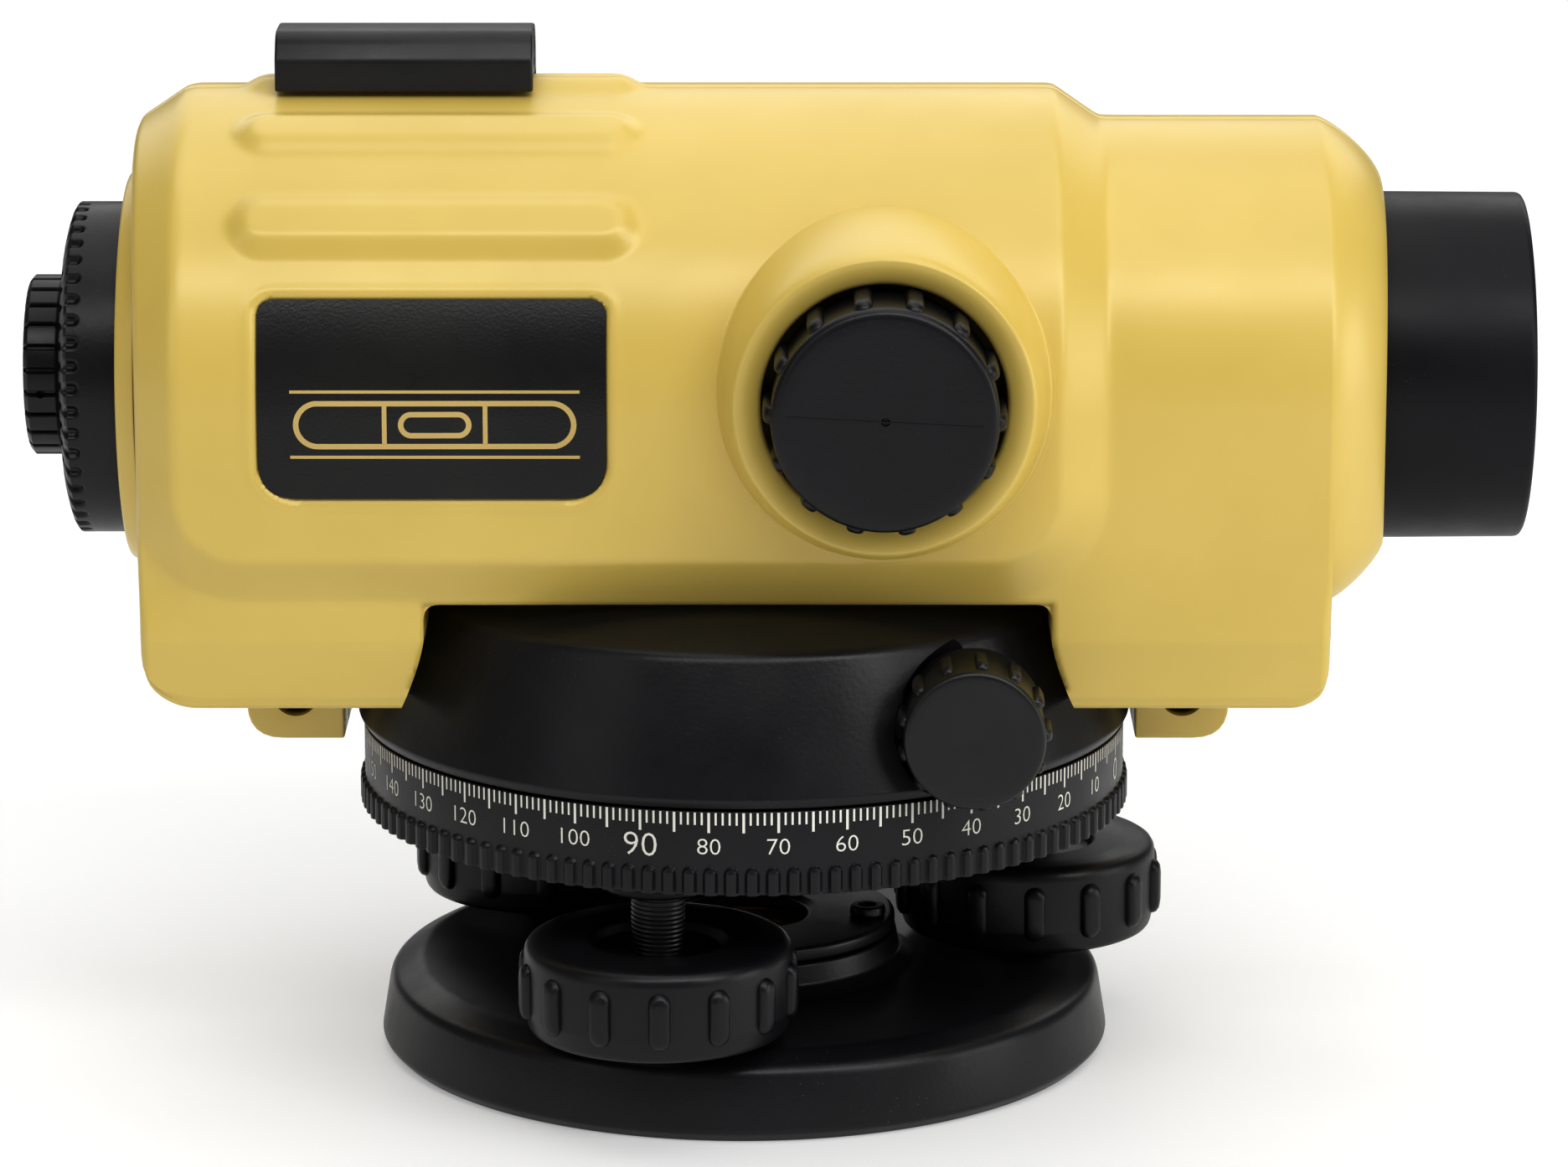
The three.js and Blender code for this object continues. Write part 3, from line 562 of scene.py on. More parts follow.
def housing(side, inset=0.0):
    """Closed solid of one half of the housing (side -1 near, +1 far), or of the hollow inside it (side 0)."""
    if inset:
        stations = np.concatenate([[LEFT + inset], np.arange(-70, 72, 6.0), [72.2, 72.4, 75, 76.5, 78, 78.6]])
    else:
        parts = [np.linspace(LEFT, LEFT + 2.4, 12), np.arange(-73.3, -68, 0.45), np.arange(-67.6, 34, 0.55)]
        parts += [np.arange(34.1, 47.5, 0.4), np.arange(48, 73, 0.9), np.linspace(73.1, RIGHT, 9)]
        parts += [[RIGHT + 0.02], np.linspace(RIGHT + 0.3, END - 0.05, 26), [END]]
        stations = np.concatenate(parts)
    rings = []
    for x in stations:
        xs, w, z = section(float(x), inset, 1.0 if side < 0 else 0.0)
        if side:
            parting = 0.12
            rings.append(np.stack([xs, np.clip(w, parting, None) * side, z], -1))
        else:
            far = np.stack([xs, w, z], -1)[-2:0:-1]
            rings.append(np.concatenate([np.stack([xs, -w, z], -1), far]))
    if side:
        sizes = (0.3, 0.6, 0.8, 0.92)
        rear = [cap(rings[0], LEFT, size, side) for size in sizes]
        front = [cap(rings[-1], END, size, side) for size in sizes[::-1]]
        rings = rear + rings + front
    n = len(rings[0])
    ends = [ring_face(0, n)[::-1], ring_face(len(rings) - 1, n)]
    return np.concatenate(rings), grid(len(rings), n, False, True) + ends


def cap(ring, x, scale, side):
    """The end ring drawn in toward a point inside it, kept on the dome of the end."""
    middle_y, middle_z = 8 * side, 84
    y = middle_y + (ring[:, 1] - middle_y) * scale
    z = middle_z + (ring[:, 2] - middle_z) * scale
    return np.stack([x + bow(x, np.abs(y), z), y, z], -1)


def skin_y(x, z):
    """Distance of the raised middle's surface from the centre plane."""
    up = np.clip(z - TEL_Z, 0, None)
    u = np.where(z < TEL_Z, z, TEL_Z + np.arcsin(np.clip(up / (CROWN + PROUD), 0, 1)) * (CROWN + PROUD))
    d = bulge(x, u)
    return (HALF + d) * np.sqrt(np.clip(1 - (up / (CROWN + d)) ** 2, 0, 1))


def boss():
    """Raised collar round the focusing knob: a crest, then a flank that flows into the housing."""
    lip = np.linspace(0.2, math.pi / 2, 5)
    rho = np.concatenate([[15.3] * 3, 15.3 + 0.5 * (1 - np.cos(lip)), np.linspace(16.0, 22.0, 50), [22.3]])
    sink = np.concatenate([[14.0, 8.0, 1.2], 0.5 * (1 - np.sin(lip)), np.zeros(50), [0.8]])
    turns = np.linspace(0, 2 * math.pi, 224, endpoint=False)
    r, t = np.meshgrid(rho, turns, indexing="ij")
    x, z = FOCUS_AT[0] + r * np.cos(t), FOCUS_AT[2] + r * np.sin(t)
    crest = 44.2 - 0.13 * np.clip(18.4 - r, 0, None) ** 1.9 - 1.45 * np.clip(r - 18.4, 0, None) ** 1.9
    skin = skin_y(x, z)
    k = 1.8
    h = np.clip(0.5 + 0.5 * (crest - skin) / k, 0, 1)
    y = skin + (crest - skin) * h + k * h * (1 - h) - sink[:, None]
    y = y + 0.03 - 0.08 * smooth(21.2, 22.0, r)
    rows = np.stack([x, -y, z], -1)
    pts = np.concatenate([rows.reshape(-1, 3), rows[-1] + np.array([0, 1.2, 0])])
    return pts, grid(len(rho) + 1, len(turns), False, True)


def door_outline():
    """Opening in the skirt: nearly upright edges that sweep outward toward the bottom."""
    z = np.linspace(49.5, 62, 14)
    half = door_half(z)
    right = [(DOOR_X + h, level) for h, level in zip(half, z)]
    left = [(DOOR_X - h, level) for h, level in zip(half, z)][::-1]
    top = [(DOOR_X + DOOR_HALF, DOOR_TOP, 2.2), (DOOR_X - DOOR_HALF, DOOR_TOP, 2.2)]
    return fillet(right + top + left, 7)


LUGS, LUG_Z = ((-64.9, -52.2), (51.2, 63.4)), 48.4


def lug(x0, x1, side):
    """Screw lug hanging from the housing, with one rounded outer corner, and the web that holds it."""
    outer, inner = (x0, x1) if x0 < 0 else (x1, x0)
    corners = [(inner, 58), (inner, 42.4, 0.4), (outer, 42.4, 4.6), (outer, 58)]
    y0, y1 = (-8, -0.15) if side < 0 else (0.15, 8)
    body = prism(fillet(corners, 7), y0, y1, "y", 0.35)
    middle = (x0 + x1) / 2
    w0, w1 = (-30.6, -7.5) if side < 0 else (7.5, 30.6)
    web = rounded_box(middle - 1.2, middle + 1.2, w0, w1, 57.2, 60, 0.2, 0.1)
    return body, web


def build_housing():
    hollow = housing(0, WALL)
    barrel_hole = rod("x", 22.9, 60, 90, AXIS_AT, 192)
    eyepiece_hole = rod("x", 17.0, -90, -60, AXIS_AT)
    door = prism(door_outline(), -50, 50, "y")
    look = (YELLOW, "alidade", "yellow_plastic")
    for side, node in ((-1, "shell_near"), (1, "shell_far")):
        shell = blank(f"{node}_fine", *housing(side))
        carve(shell, hollow, door, barrel_hole, eyepiece_hole)
        if side < 0:
            carve(shell, rod("y", 18.0, -60, -20, FOCUS_AT))
        dress(shell, *look, (node,), 40)
        for i, (x0, x1) in enumerate(LUGS):
            body, web = lug(x0, x1, side)
            tab = blank(f"lug_{node}_{i + 1}", *body)
            at = ((x0 + x1) / 2, 0, LUG_Z)
            carve(tab, rod("y", 1.9, -9, 6.4, at, 32))
            if side < 0:
                carve(tab, rod("y", 3.0, -9, -4.4, at, 40))
            dress(tab, *look, (), 40)
            make(f"web_{node}_{i + 1}", *web, *look)
    make("focus_boss", *boss(), *look, (), 50)
    collar = [(22.1, -77.0), (22.1, -79.5, 0.3), (25.0, -79.5, 0.9), (26.1, -77.0, 0.2)]
    make("eyepiece_collar", *lathe("x", collar, 160, AXIS_AT), *look)


build_housing()

# ---------------------------------------------------------------- nameplate

def wrap_on_skin(flat, lift):
    """(x, height along the skin) points laid on the raised middle of the near side."""
    x, u = flat[:, 0], flat[:, 1]
    arc = np.clip(u - TEL_Z, 0, None) / (CROWN + PROUD)
    y = (HALF + PROUD - sag(u) + lift) * np.cos(arc)
    z = np.where(u < TEL_Z, u, TEL_Z + (CROWN + PROUD + lift) * np.sin(arc))
    return np.stack([x, -y, z], -1)


def plate_outline():
    (x0, x1, u0, u1), low, high = PLATE, 4.9, 2.2
    return fillet([(x0, u0, low), (x1, u0, low), (x1, u1, high), (x0, u1, high)], 9)


def dense(outline, step=0.5):
    """Straight runs cut into short steps so that the outline can follow a curved surface."""
    out = []
    for a, b in zip(outline, np.roll(outline, -1, 0)):
        n = max(1, int(np.linalg.norm(b - a) / step))
        out += [a + (b - a) * i / n for i in range(n)]
    return np.array(out)


def nameplate():
    outline = dense(plate_outline())
    middle = outline.mean(0)
    rings = [wrap_on_skin(outline, -0.75), wrap_on_skin(outline, -0.3)]
    for scale in np.linspace(0.997, 0.02, 26):
        rings.append(wrap_on_skin(middle + (outline - middle) * scale, -0.22))
    n = len(outline)
    return np.concatenate(rings), grid(len(rings), n, False, True) + [ring_face(len(rings) - 1, n)]


PRINT_LIFT = -0.19  # the print lies on the plate, whose face is a little below the skin


def strip(outer, inner):
    """Flat printed band between two matching outlines."""
    verts = np.concatenate([wrap_on_skin(outer, PRINT_LIFT), wrap_on_skin(inner, PRINT_LIFT)])
    return verts, grid(2, len(outer), False, True)


def stadium(cx, cu, half, radius, count=40):
    """Outline of two half circles joined by straight runs."""
    t = np.linspace(0, 2 * math.pi, count, endpoint=False)
    x = cx + np.where(np.cos(t) >= 0, half, -half) + radius * np.cos(t)
    return np.stack([x, cu + radius * np.sin(t)], -1)


def bar(x0, x1, u0, u1):
    """Straight printed bar laid on the plate."""
    outline = dense(np.array([(x0, u0), (x1, u0), (x1, u1), (x0, u1)]))
    return wrap_on_skin(outline, PRINT_LIFT), [tuple(range(len(outline)))]


def pictogram():
    """A spirit-level sign between two rules: vial outline, two marks and a bubble."""
    cx, cu, left, right = -38.3, 90.6, -56.4, -20.2
    parts = [bar(left, right, 94.6, 95.0), bar(left, right, 86.3, 86.7)]
    parts.append(strip(stadium(cx, cu, 14.6, 3.1), stadium(cx, cu, 14.6, 2.4)))
    parts.append(strip(stadium(cx, cu, 2.9, 1.7), stadium(cx, cu, 2.9, 1.0)))
    for x in (cx - 6.6, cx + 6.0):
        parts.append(bar(x, x + 0.6, cu - 2.45, cu + 2.45))
    return merge(parts)


make("label_plate_fine", *nameplate(), LABEL, "alidade", "label", ("label_plate",), 30)
make("label_print", *pictogram(), PRINT, "alidade", "label")


# ---------------------------------------------------------------- base plate and foot screws

FEET = [(*polar(FOOT_R, angle), 0) for angle in FOOT_ANGLES]
PLATE_SCREWS = [(*polar(SCREW_R, angle), 0) for angle in SCREW_ANGLES]


def screw_thread(radius, low, high, pitch, depth, at):
    """External thread as a helical relief on a closed turned profile, with a chamfered tip."""
    tip = 0.8
    line = np.linspace(low, high, int((high - low) / pitch * 8))
    corners = [(0.01, low)] + [(radius - tip * 0.5, low)] + [(radius, a) for a in line[1:-1]]
    corners += [(radius - tip, high), (0.01, high)]

    def relief(along, r, angle):
        live = (along > low + 0.1) & (along < high - 0.1) & (r > radius * 0.8)
        return -depth * zigzag(along / pitch + angle / (2 * math.pi)) * live
    return lathe("z", corners, 48, at, 5, relief)


def base():
    corners = [(13.4, 0, 0.3), (46.8, 0, 0.5), (48.2, 1.4, 1.1), (46.9, 9.4, 2.2), (43.2, 11.0, 4.0),
               (22.4, 10.7, 1.6), (20.6, 12.0, 0.9), (20.1, 14.8, 0.5), (13.4, 14.8, 0.3)]
    plate = blank("base_plate_fine", *lathe("z", corners, 256))
    carve(plate, *[turned("z", [(5.0, 5.5), (5.0, 10.2), (6.2, 12)], at, 64) for at in FEET])
    dress(plate, BLACK, "base", "black_plastic", ("base_plate",), 35)
    disc = [(8.5, 15.1), (20, 15.1, 0.3), (20, 16.9, 0.7), (9.6, 16.9, 0.5), (8.9, 16.3, 0.2), (8.5, 16.3)]
    clamp = blank("clamp_plate_fine", *lathe("z", disc, 160))
    for at in PLATE_SCREWS:
        carve(clamp, turned("z", [(1.6, 14), (1.6, 16.1), (2.8, 18)], at, 32))
    dress(clamp, RUBBED, "base", "dark_metal", ("clamp_plate",), 35)
    bore = [(13.1, 0.6, 0.3), (13.1, 14.5, 0.3), (8.6, 14.5)] + [(8.0, a) for a in np.linspace(14, 1.1, 60)]
    bore += [(8.6, 0.6)]
    pitch = 2.309  # 11 threads to the inch

    def thread(along, r, angle):
        return 1.2 * zigzag(along / pitch - angle / (2 * math.pi)) * (r < 8.3)
    # the insert's brass is darkened as painted shade for the inside of the bore
    make("tripod_insert_fine", *lathe("z", bore, 96, relief=thread), SHADED_BRASS, "base", "brass",
         ("tripod_thread_insert",))
    screw = [(0.01, 7), (1.3, 7), (1.3, 16.2), (2.4, 17.2, 0.1), (2.3, 18.3, 0.4), (1.25, 18.3), (1.15, 17.4),
             (0.01, 17.2)]
    ring = [(3.0, 11.3, 0.1), (8, 11.3, 0.15), (8, 12.1, 0.3), (3.4, 12.1, 0.2)]
    for i in range(3):
        make(f"plate_screw_fine_{i + 1}", *lathe("z", screw, 36, PLATE_SCREWS[i]), DARK_STEEL, "base",
             "steel", (f"plate_screw_{i + 1}",))
        make(f"ball_retainer_fine_{i + 1}", *lathe("z", ring, 64, FEET[i]), STEEL, "base", "steel",
             (f"ball_retainer_{i + 1}",))


def foot_screws():
    knob = [(3.4, 14.4), (14.4, 14.4, 0.3), (14.4, 12.4, 0.5), (16.5, 12.4, 1.3), (17.1, 15.5, 2.0),
            (17.1, 24.2, 2.6), (13.2, 24.35, 4.0), (8.9, 24.1, 0.7), (8.2, 22.6, 0.5), (3.4, 22.6, 0.2)]
    ball = [(3.6 * math.sin(a), 9.5 - 3.6 * math.cos(a)) for a in np.linspace(0.01, 2.5, 24)]
    stem = [(0.01, ball[0][1])] + ball + [(2.3, 13.2), (2.9, 14.0), (0.01, 14.0)]
    for i, at in enumerate(FEET):
        grip = pills_round("z", 17.05, 18.2, 14, 7.4, 2.8, 1.05, at, math.radians(-88.5))
        make(f"foot_knob_fine_{i + 1}", *merge([lathe("z", knob, 192, at), grip]), BLACK, FOOT_BODIES[i],
             "black_plastic", (f"foot_knob_{i + 1}",))
        parts = [lathe("z", stem, 48, at), screw_thread(3.45, 13.9, 31.4, 0.6, 0.08, at)]
        make(f"foot_stud_fine_{i + 1}", *merge(parts), DARK_STEEL, FOOT_BODIES[i], "steel",
             (f"foot_stud_{i + 1}",), 45)


def tribrach():
    hub = [(7.4, 25, 0.3), (21, 25, 1.2), (21, 33.2, 0.6), (13.5, 33.2, 0.5), (13.5, 38.5, 0.5),
           (7.4, 38.5, 0.3)]
    eye = [(5.5, 30.9, 0.3), (7, 30.9, 0.6), (7, 33.2, 0.4), (5.5, 33.2, 0.3)]
    bush = [(4.2, 30.6, 0.2), (5.2, 30.6, 0.2), (5.2, 33, 0.3), (4.2, 33, 0.3)]
    parts = [lathe("z", hub, 128)]
    for angle, at in zip(FOOT_ANGLES, FEET):
        arm = rounded_box(-7, 7, -FOOT_R + 6.4, -19, 29.6, 33.1, 0.3, 0.5)
        parts += [turn_z(arm, angle), lathe("z", eye, 64, at)]
    make("tribrach_fine", *merge(parts), SATIN, "tribrach", "dark_metal", ("tribrach_body",))
    for i, at in enumerate(FEET):
        make(f"foot_bush_fine_{i + 1}", *lathe("z", bush, 48, at), BRASS, "tribrach", "brass",
             (f"foot_bush_{i + 1}",))


base()
foot_screws()
tribrach()


# ---------------------------------------------------------------- graduated circle

CIRCLE_R, FACING = 50.0, 75.3  # radius of the scale, and direction of its zero in degrees from the near side
PRINT_R = CIRCLE_R + 0.03


def across_rib(angle, count, radius):
    """Distance round a cylinder from the middle of the nearest of its ribs."""
    pitch = 2 * math.pi * radius / count
    return ((angle / (2 * math.pi) * count) % 1 - 0.5) * pitch


def circle_relief(along, r, angle):
    """Arch-topped grip ribs standing on the lower edge."""
    s = across_rib(angle, 120, CIRCLE_R)
    half, top, proud = 0.88, 36.95, 0.62
    over = along - (top - half)
    gap = np.where(over > 0, half - np.hypot(s, over), half - np.abs(s))
    rib = 0.8 * smooth(0.0, 0.26, gap) + 0.2 * smooth(0.2, 0.85, gap)
    return proud * rib * (r > 49.8) * (along < 37.4)


def circle():
    rows = [(CIRCLE_R, a) for a in np.linspace(33.6, 37.2, 30)]
    corners = [(13.8, 33.5, 0.3), (48.4, 33.5, 0.2), (48.7, 33.2, 0.2), (49.7, 33.2, 0.15), (49.95, 33.35)]
    corners += rows + [(CIRCLE_R, 37.9), (CIRCLE_R, 44.15, 0.35), (47, 44.15, 0.3), (47, 36.6, 0.5),
                       (13.8, 36.6, 0.3)]
    make("circle_fine", *lathe("z", corners, 1800, relief=circle_relief), BLACK, "circle", "circle_plastic",
         ("horizontal_circle",), 30)
    ticks = []
    for degree in range(360):
        half, low = (0.17, 41.4) if degree % 5 == 0 else (0.135, 42.4)
        a = np.array([-half, half, half, -half]) / CIRCLE_R + math.radians(FACING - degree)
        z = np.array([low, low, 44.0, 44.0])
        ticks.append((np.stack([PRINT_R * np.sin(a), -PRINT_R * np.cos(a), z], -1), [(0, 1, 2, 3)]))
    ticks += [number(value) for value in range(0, 360, 10)]
    make("circle_scale", *merge(ticks), WHITE, "circle", "circle_plastic")


def number(value):
    """Digits as flat print on the cylinder of the circle, larger at the quarters."""
    curve = bpy.data.curves.new("digits", "FONT")
    curve.body = str(value)
    curve.offset = -0.01
    curve.resolution_u = 3
    obj = link(bpy.data.objects.new("digits", curve))
    bpy.context.view_layer.update()
    mesh = bpy.data.meshes.new_from_object(obj.evaluated_get(bpy.context.evaluated_depsgraph_get()))
    pts = np.array([v.co[:] for v in mesh.vertices])
    faces = [tuple(p.vertices) for p in mesh.polygons]
    bpy.data.objects.remove(obj)
    bpy.data.meshes.remove(mesh)
    low, high = (38.1, 41.1) if value % 90 == 0 else (38.6, 40.65)
    scale = (high - low) / (pts[:, 1].max() - pts[:, 1].min())
    across = (pts[:, 0] - (pts[:, 0].max() + pts[:, 0].min()) / 2) * scale * 1.06
    z = low + (pts[:, 1] - pts[:, 1].min()) * scale
    a = math.radians(FACING - value) + across / CIRCLE_R
    return np.stack([PRINT_R * np.sin(a), -PRINT_R * np.cos(a), z], -1), faces


circle()


# ---------------------------------------------------------------- drum and its knobs

FINE_AT = (29.0, 0.0, 53.2)  # axis of the fine knobs, along Y


def drum():
    """Hollow drum with a cup sunk into each flank for a fine knob."""
    outer = [(50.1, 44.5, 0.3), (50.8, 45.6, 0.8), (44.9, 62.9, 2.0), (36.5, 65.2, 4.0), (28, 66.8, 6),
             (11.9, 67.6, 0.4)]
    inner = [(11.9, 65.3), (28, 64.4), (36, 62.6), (42.8, 60.6), (47.2, 50), (47.2, 44.5)]
    shell = blank("drum_fine", *lathe("z", outer + inner, 256))
    solid = turned("z", [(50.4, 45.6), (44.6, 61.6), (42.6, 63), (36.4, 65), (20, 66.6)], segments=256)
    for side in (-1, 1):
        cup = blank("cup", *rod("y", 12.4, *sorted((32 * side, 47 * side)), FINE_AT, 64))
        carve(cup, solid, operation="INTERSECT")
        verts = np.array([v.co[:] for v in cup.data.vertices]) / MM
        faces = [tuple(f.vertices) for f in cup.data.polygons]
        bpy.data.objects.remove(cup)
        carve(shell, (verts, faces), operation="UNION")
        carve(shell, rod("y", 9.9, *sorted((35.8 * side, 62 * side)), FINE_AT, 96))
    carve(shell, rod("y", 3.6, -60, 60, FINE_AT, 40))
    dress(shell, BLACK, "alidade", "black_plastic", ("base_housing",), 38)


drum()


def grip_knob(at, radius, rear, face, edge, ribs_spec, phase, gate=()):
    """Moulded knob facing -Y: rounded edge, ribs behind the shoulder, and a dimpled gate mark if given."""
    count, length, width, proud, middle = ribs_spec
    corners = [(3.0, rear), (radius - 1.0, rear, 0.3), (radius, rear - 0.8, 0.4), (radius, face, edge),
               (radius * 0.8, face, 0.2), *gate, (0.01, face + 0.3), (0.01, face + 4.5), (3.0, face + 4.5)]
    grip = pills_round("y", radius, middle, count, length, width, proud, at, phase)
    return merge([lathe("y", corners, 160, at), grip])


def mould_line(at, half, face):
    """Faint raised line across the face of a knob, turned a little from level."""
    flat, faces = rounded_box(-half, half, -0.09, 0.09, -0.06, 0.06, 0.03, 0.02)
    tilt = math.radians(-3)
    x = flat[:, 0] * math.cos(tilt) - flat[:, 1] * math.sin(tilt)
    z = flat[:, 0] * math.sin(tilt) + flat[:, 1] * math.cos(tilt)
    return np.stack([x + at[0], face - flat[:, 2], z + at[2]], -1), [tuple(reversed(f)) for f in faces]


def knobs():
    radius, face = 14.1, -52.5
    gate = [(0.55, face), (0.4, face + 0.25)]
    body = grip_knob(FOCUS_AT, radius, -39.5, face, 1.9, (14, 11.4, 2.3, 1.0, -45.5), math.radians(169), gate)
    make("focus_knob_fine", *merge([body, mould_line(FOCUS_AT, radius * 0.86, face)]), BLACK, "focus_drive",
         "black_plastic", ("focus_knob",))
    near = grip_knob(FINE_AT, 8.9, -36.7, -50.0, 2.4, (13, 6.8, 1.6, 0.85, -44.9), math.radians(5.7))
    for name, part in (("fine_knob_near", near), ("fine_knob_far", mirror_y(near))):
        make(f"{name}_fine", *part, RUBBED, "fine_drive", "black_plastic", (name,))


knobs()


# ---------------------------------------------------------------- telescope ends, sight and screws

def baffle(along, r, angle):
    """Fine light-trap grooves inside the objective hood."""
    return 0.18 * zigzag(along / 0.8) * ((r < 20.5) & (along > 90.5) & (along < 100.0))


def objective():
    barrel = [(19.8, 70), (22.6, 70, 0.2), (22.4, 101.0, 1.4), (20.6, 101.0, 0.8), (19.9, 100.2)]
    barrel += [(19.9, a) for a in np.linspace(99.8, 90.6, 60)]
    barrel += [(19.6, 90), (17.4, 90, 0.2), (17.4, 87, 0.2), (19.8, 87)]
    make("objective_barrel_fine", *lathe("x", barrel, 192, AXIS_AT, relief=baffle), SATIN, "alidade",
         "black_plastic", ("objective_barrel",))
    radius = 19.2
    front = [(radius * t, 95.9 - 1.9 * t * t) for t in np.linspace(0.001, 1, 14)]
    back = [(radius * t, 90.2 + 1.2 * t * t) for t in np.linspace(1, 0.001, 14)]
    make("objective_lens_fine", *lathe("x", front + back, 128, AXIS_AT), GLASS, "alidade", "optical_glass",
         ("objective_lens",))
    ring = [(17.4, 96.4, 0.2), (19.3, 96.4, 0.2), (19.3, 98.4, 0.2), (17.4, 98.4, 0.4)]
    retainer = blank("objective_retainer_fine", *lathe("x", ring, 128, AXIS_AT))
    carve(retainer, rounded_box(97.7, 99, -30, 30, TEL_Z - 0.7, TEL_Z + 0.7, 0.1, 0.05))
    dress(retainer, SATIN, "alidade", "dark_metal", ("objective_retainer",))


def flutes(along, r, angle):
    """Round-topped notches in the edge of the eyepiece cover."""
    half, depth = 0.92, 0.75
    s = across_rib(angle, 46, 21.8)
    over = along + 84.9 + 0.3
    gap = np.where(over > 0, half - np.hypot(s, over), half - np.abs(s))
    return -depth * smooth(0.0, 0.7, gap) * (r > 18.5) * (along < -83.5)


def ring_grooves(along, r, angle):
    """Narrow grooves round the dioptre ring."""
    s = zigzag(angle / (2 * math.pi) * 24) * math.pi * 11.6 / 24
    return -0.75 * (1 - smooth(0.16, 0.4, s)) * (r > 10.6) * (along < -88.6)


def eyepiece():
    radius = 21.5
    cover = [(9.9, -78.0, 0.2), (radius, -78.0, 0.4), (radius, -83.6)]
    cover += [(radius, a) for a in np.linspace(-83.9, -86.0, 14)]
    cover += [(21.3 - 3.0 * t, -86.1 - 1.15 * t ** 0.6) for t in np.linspace(0.02, 1, 16)]
    cover += [(14, -87.6, 1), (9.9, -87.4, 0.3)]
    make("eyepiece_cover_fine", *lathe("x", cover, 736, (0, 0, TEL_Z - 0.3), relief=flutes), BLACK, "alidade",
         "black_plastic", ("eyepiece_cover",), 40)
    ring = [(5.9, -92.2, 0.5), (10.9, -92.7, 0.9)] + [(11.7, a) for a in np.linspace(-92.0, -88.4, 18)]
    ring += [(11.3, -87.8), (7.7, -87.8), (7.7, -79), (5.9, -79)]
    dioptre = blank("dioptre_ring_fine", *lathe("x", ring, 480, AXIS_AT, relief=ring_grooves))
    carve(dioptre, rod("y", 0.55, -14, -9.6, (-90.4, 0, TEL_Z - 1.6), 20))
    dress(dioptre, BLACK, "dioptre", "black_plastic", ("dioptre_ring",), 40)
    lens = [(0.01, -90.6)] + [(5.6 * t, -90.6 + t * t) for t in np.linspace(0.05, 1, 12)]
    lens += [(5.6, -86), (0.01, -85.2)]
    make("eyepiece_lens_fine", *lathe("x", lens, 64, AXIS_AT), GLASS, "alidade", "optical_glass",
         ("eyepiece_lens",))


def sight():
    half = [(4.9, 129, 0.2), (4.9, 127.6, 0.2), (6.5, 127.6, 0.2), (6.4, 131.6, 2.0), (4.4, 135.1, 3.4)]
    other = [(-y, z, radius) for y, z, radius in half[::-1]]
    outline = fillet(other[2:] + half + other[:2], 8)
    body = blank("peep_sight_fine", *prism(outline, -59.9, -26.9, "x", 0.35))
    carve(body, turned("x", [(3.3, -61), (2.2, -58.6), (2.2, -28.2), (3.3, -26)], (0, 0, 132.1), 48))
    dress(body, RUBBED, "alidade", "black_plastic", ("peep_sight",), 35)


def lug_screws():
    corners = [(0.01, -5.6), (1.2, -5.8), (1.3, -7.0), (2.3, -7.0, 0.3), (2.6, -6.6), (2.6, -4.8),
               (1.5, -4.8), (1.5, 6), (0.01, 6)]
    for i, (x0, x1) in enumerate(LUGS):
        make(f"lug_screw_fine_{i + 1}", *lathe("y", corners, 36, ((x0 + x1) / 2, 0, LUG_Z)), DARK_STEEL,
             "alidade", "steel", (f"lug_screw_{i + 1}",))


objective()
eyepiece()
sight()
lug_screws()


# ---------------------------------------------------------------- circular vial and its mirror, far side

VIAL_AT = (-30.0, 50.0, 0.0)


def vial():
    cup = [(0.01, 72), (9.4, 72, 0.8), (10.4, 73.4, 0.6), (10.4, 81.4, 0.5), (8.8, 81.4, 0.3), (8.8, 74, 0.3),
           (0.01, 74)]
    parts = [lathe("z", cup, 96, VIAL_AT)]
    parts.append(rounded_box(-38.6, -21.4, 37.4, 43.0, 73, 79.4, 0.6, 0.4))
    tab = fillet([(-22.6, 74.2, 0.5), (-16, 74.2, 1), (-15.4, 84.5, 2.2), (-16.9, 87.2, 1.6),
                  (-19.8, 86.8, 1.6), (-19.9, 80.6, 1), (-22.6, 80.4, 0.6)], 6)
    parts += [prism(tab, y0, y1, "y", 0.25) for y0, y1 in ((41.2, 43.4), (56.6, 58.8))]
    parts.append(rounded_box(-22, -19, 42.4, 57.6, 74, 78, 0.4, 0.4))
    make("vial_holder_fine", *merge(parts), BLACK, "alidade", "black_plastic", ("vial_holder",))
    dome = [(8.5 * t, 82.6 - 1.1 * t * t) for t in np.linspace(0.002, 0.94, 14)]
    dome += [(8.5, 80.9, 0.3), (8.5, 74.3), (0.01, 74.3)]
    make("vial_glass_fine", *lathe("z", dome, 96, VIAL_AT), VIAL_FLUID, "alidade", "optical_glass",
         ("vial_glass",))
    ring = [(2.9, 81.9), (3.3, 81.9), (3.3, 82.62), (2.9, 82.66)]
    make("vial_ring", *lathe("z", ring, 64, VIAL_AT), SATIN, "alidade", "black_plastic")
    backing = [(0.01, 74.4), (8.4, 74.4), (8.4, 74.7), (0.01, 74.7)]
    make("vial_backing", *lathe("z", backing, 48, VIAL_AT), WHITE, "alidade", "label")


def flap_place(part):
    """From the flap's own flat frame to its place, leaning back 45 degrees over the vial."""
    v, f = part
    a, hinge = math.radians(45), np.array([-17.6, 0, 85])
    m = np.array([[math.cos(a), 0, math.sin(a)], [0, 1, 0], [-math.sin(a), 0, math.cos(a)]])
    return np.asarray(v, float) @ m.T + hinge, f


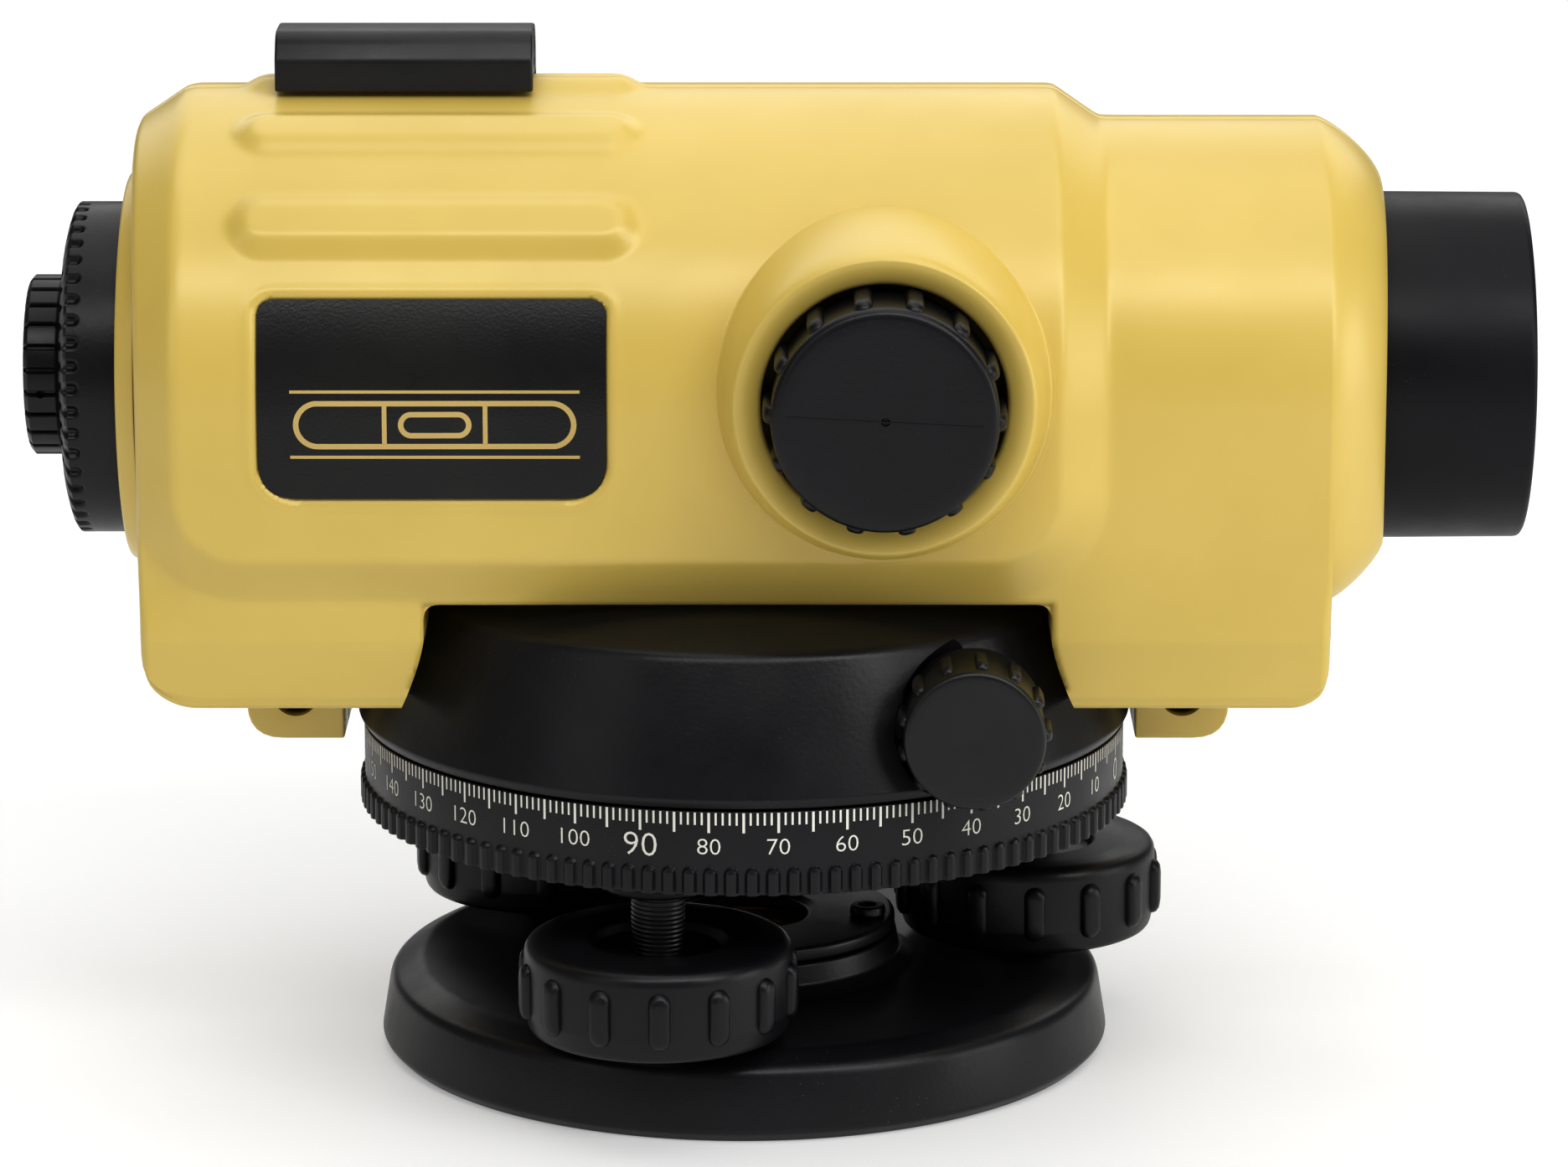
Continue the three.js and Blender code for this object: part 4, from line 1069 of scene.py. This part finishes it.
def flap():
    parts = [rounded_box(-23, -1, 44, 56, 0.9, 2.4, 1.6, 0.4),
             rounded_box(-3.4, 1.2, 44, 56, -1.2, 2.4, 0.6, 0.5), rod("y", 1.2, 41, 59, segments=32)]
    for box in ((-24, -3, 43.8, 45.0), (-24, -3, 55.0, 56.2), (-24, -23, 43.8, 56.2), (-4, -3, 43.8, 56.2)):
        parts.append(rounded_box(*box, -0.6, 1.4, 0.2, 0.2))
    make("mirror_flap_fine", *flap_place(merge(parts)), BLACK, "vial_mirror_flap", "black_plastic",
         ("mirror_flap",))
    mirror = rounded_box(-22.6, -4.4, 45.4, 54.6, -0.3, 0.6, 0.4, 0.15)
    make("vial_mirror_fine", *flap_place(mirror), MIRROR, "vial_mirror_flap", "mirror", ("vial_mirror",))


vial()
flap()

# ---------------------------------------------------------------- CAD nodes kept inside the housing

KEPT = {
    ALUMINIUM: ("chassis", "focus_cell", "compensator_frame"),
    BRASS: ("worm_wheel", "axis_sleeve", "reticle_cell", "eyepiece_tube", "pendulum"),
    STEEL: ("spindle", "worm_shaft", "focus_shaft"),
    GLASS: ("focus_lens", "reticle_glass", "pendulum_prism"),
    SATIN: ("damping_magnet",),
}
for material, names in KEPT.items():
    for name in names:
        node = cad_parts[name]
        node.data.materials.clear()
        node.data.materials.append(material)

# ---------------------------------------------------------------- floor, light and camera

def floor():
    mesh = bpy.data.meshes.new("floor")
    mesh.from_pydata([(-4, -4, 0), (4, -4, 0), (4, 4, 0), (-4, 4, 0)], [], [(0, 1, 2, 3)])
    obj = link(bpy.data.objects.new("floor", mesh))
    material, tree, bsdf = node_material("floor")
    tone = ramp(tree, noise(tree, 6.0).outputs["Fac"], [(0.3, (0.6, 0.6, 0.6)), (0.7, (0.64, 0.64, 0.64))])
    tree.links.new(tone, bsdf.inputs["Base Color"])
    bsdf.inputs["Roughness"].default_value = 0.6
    bsdf.inputs["Emission Color"].default_value = (1, 1, 1, 1)
    bsdf.inputs["Emission Strength"].default_value = 0.42
    mesh.materials.append(material)


def lamp(name, place, target, size, power, colour=(1, 1, 1)):
    data = bpy.data.lights.new(name, "AREA")
    data.shape, data.size, data.size_y = "RECTANGLE", size[0], size[1]
    data.energy, data.color = power, colour
    obj = link(bpy.data.objects.new(name, data))
    obj.location = place
    obj.rotation_mode = "QUATERNION"
    obj.rotation_quaternion = (Vector(target) - Vector(place)).to_track_quat("-Z", "Y")


def camera():
    elevation, distance = math.radians(13.65), 0.85
    target = Vector((0.00528, 0, 0.06129))
    data = bpy.data.cameras.new("camera")
    data.sensor_width, data.lens = 36.0, 148.54
    data.clip_start, data.clip_end = 0.01, 20
    obj = link(bpy.data.objects.new("camera", data))
    back = Vector((0, -math.cos(elevation), math.sin(elevation)))
    obj.location = target + back * distance
    obj.rotation_euler = (math.pi / 2 - elevation, 0, 0)
    bpy.context.scene.camera = obj


floor()
camera()
lamp("key", (0.85, -0.75, 0.75), (0.02, 0, 0.08), (0.45, 0.7), 5)
lamp("side", (1.15, -0.2, 0.22), (0.06, 0, 0.09), (0.5, 0.4), 2.6)
lamp("front", (0.05, -0.8, 0.95), (0, 0, 0.06), (1.2, 0.3), 7)
lamp("top", (0.05, 0.05, 1.3), (0, 0, 0.08), (1.6, 1.1), 10.5)
lamp("fill", (-1.0, -0.9, 0.6), (0, 0, 0.08), (0.5, 0.7), 1.5)
lamp("floor", (0.0, 1.8, 1.1), (0.0, 1.4, 0.0), (3.4, 1.8), 30)
world = bpy.data.worlds.new("world")
bpy.context.scene.world = world
world.use_nodes = True
world.node_tree.nodes["Background"].inputs["Color"].default_value = (1, 1, 1, 1)
world.node_tree.nodes["Background"].inputs["Strength"].default_value = 0.2
view = bpy.context.scene.view_settings
view.view_transform = "Standard"
view.gamma = 0.75
view.exposure = -0.22
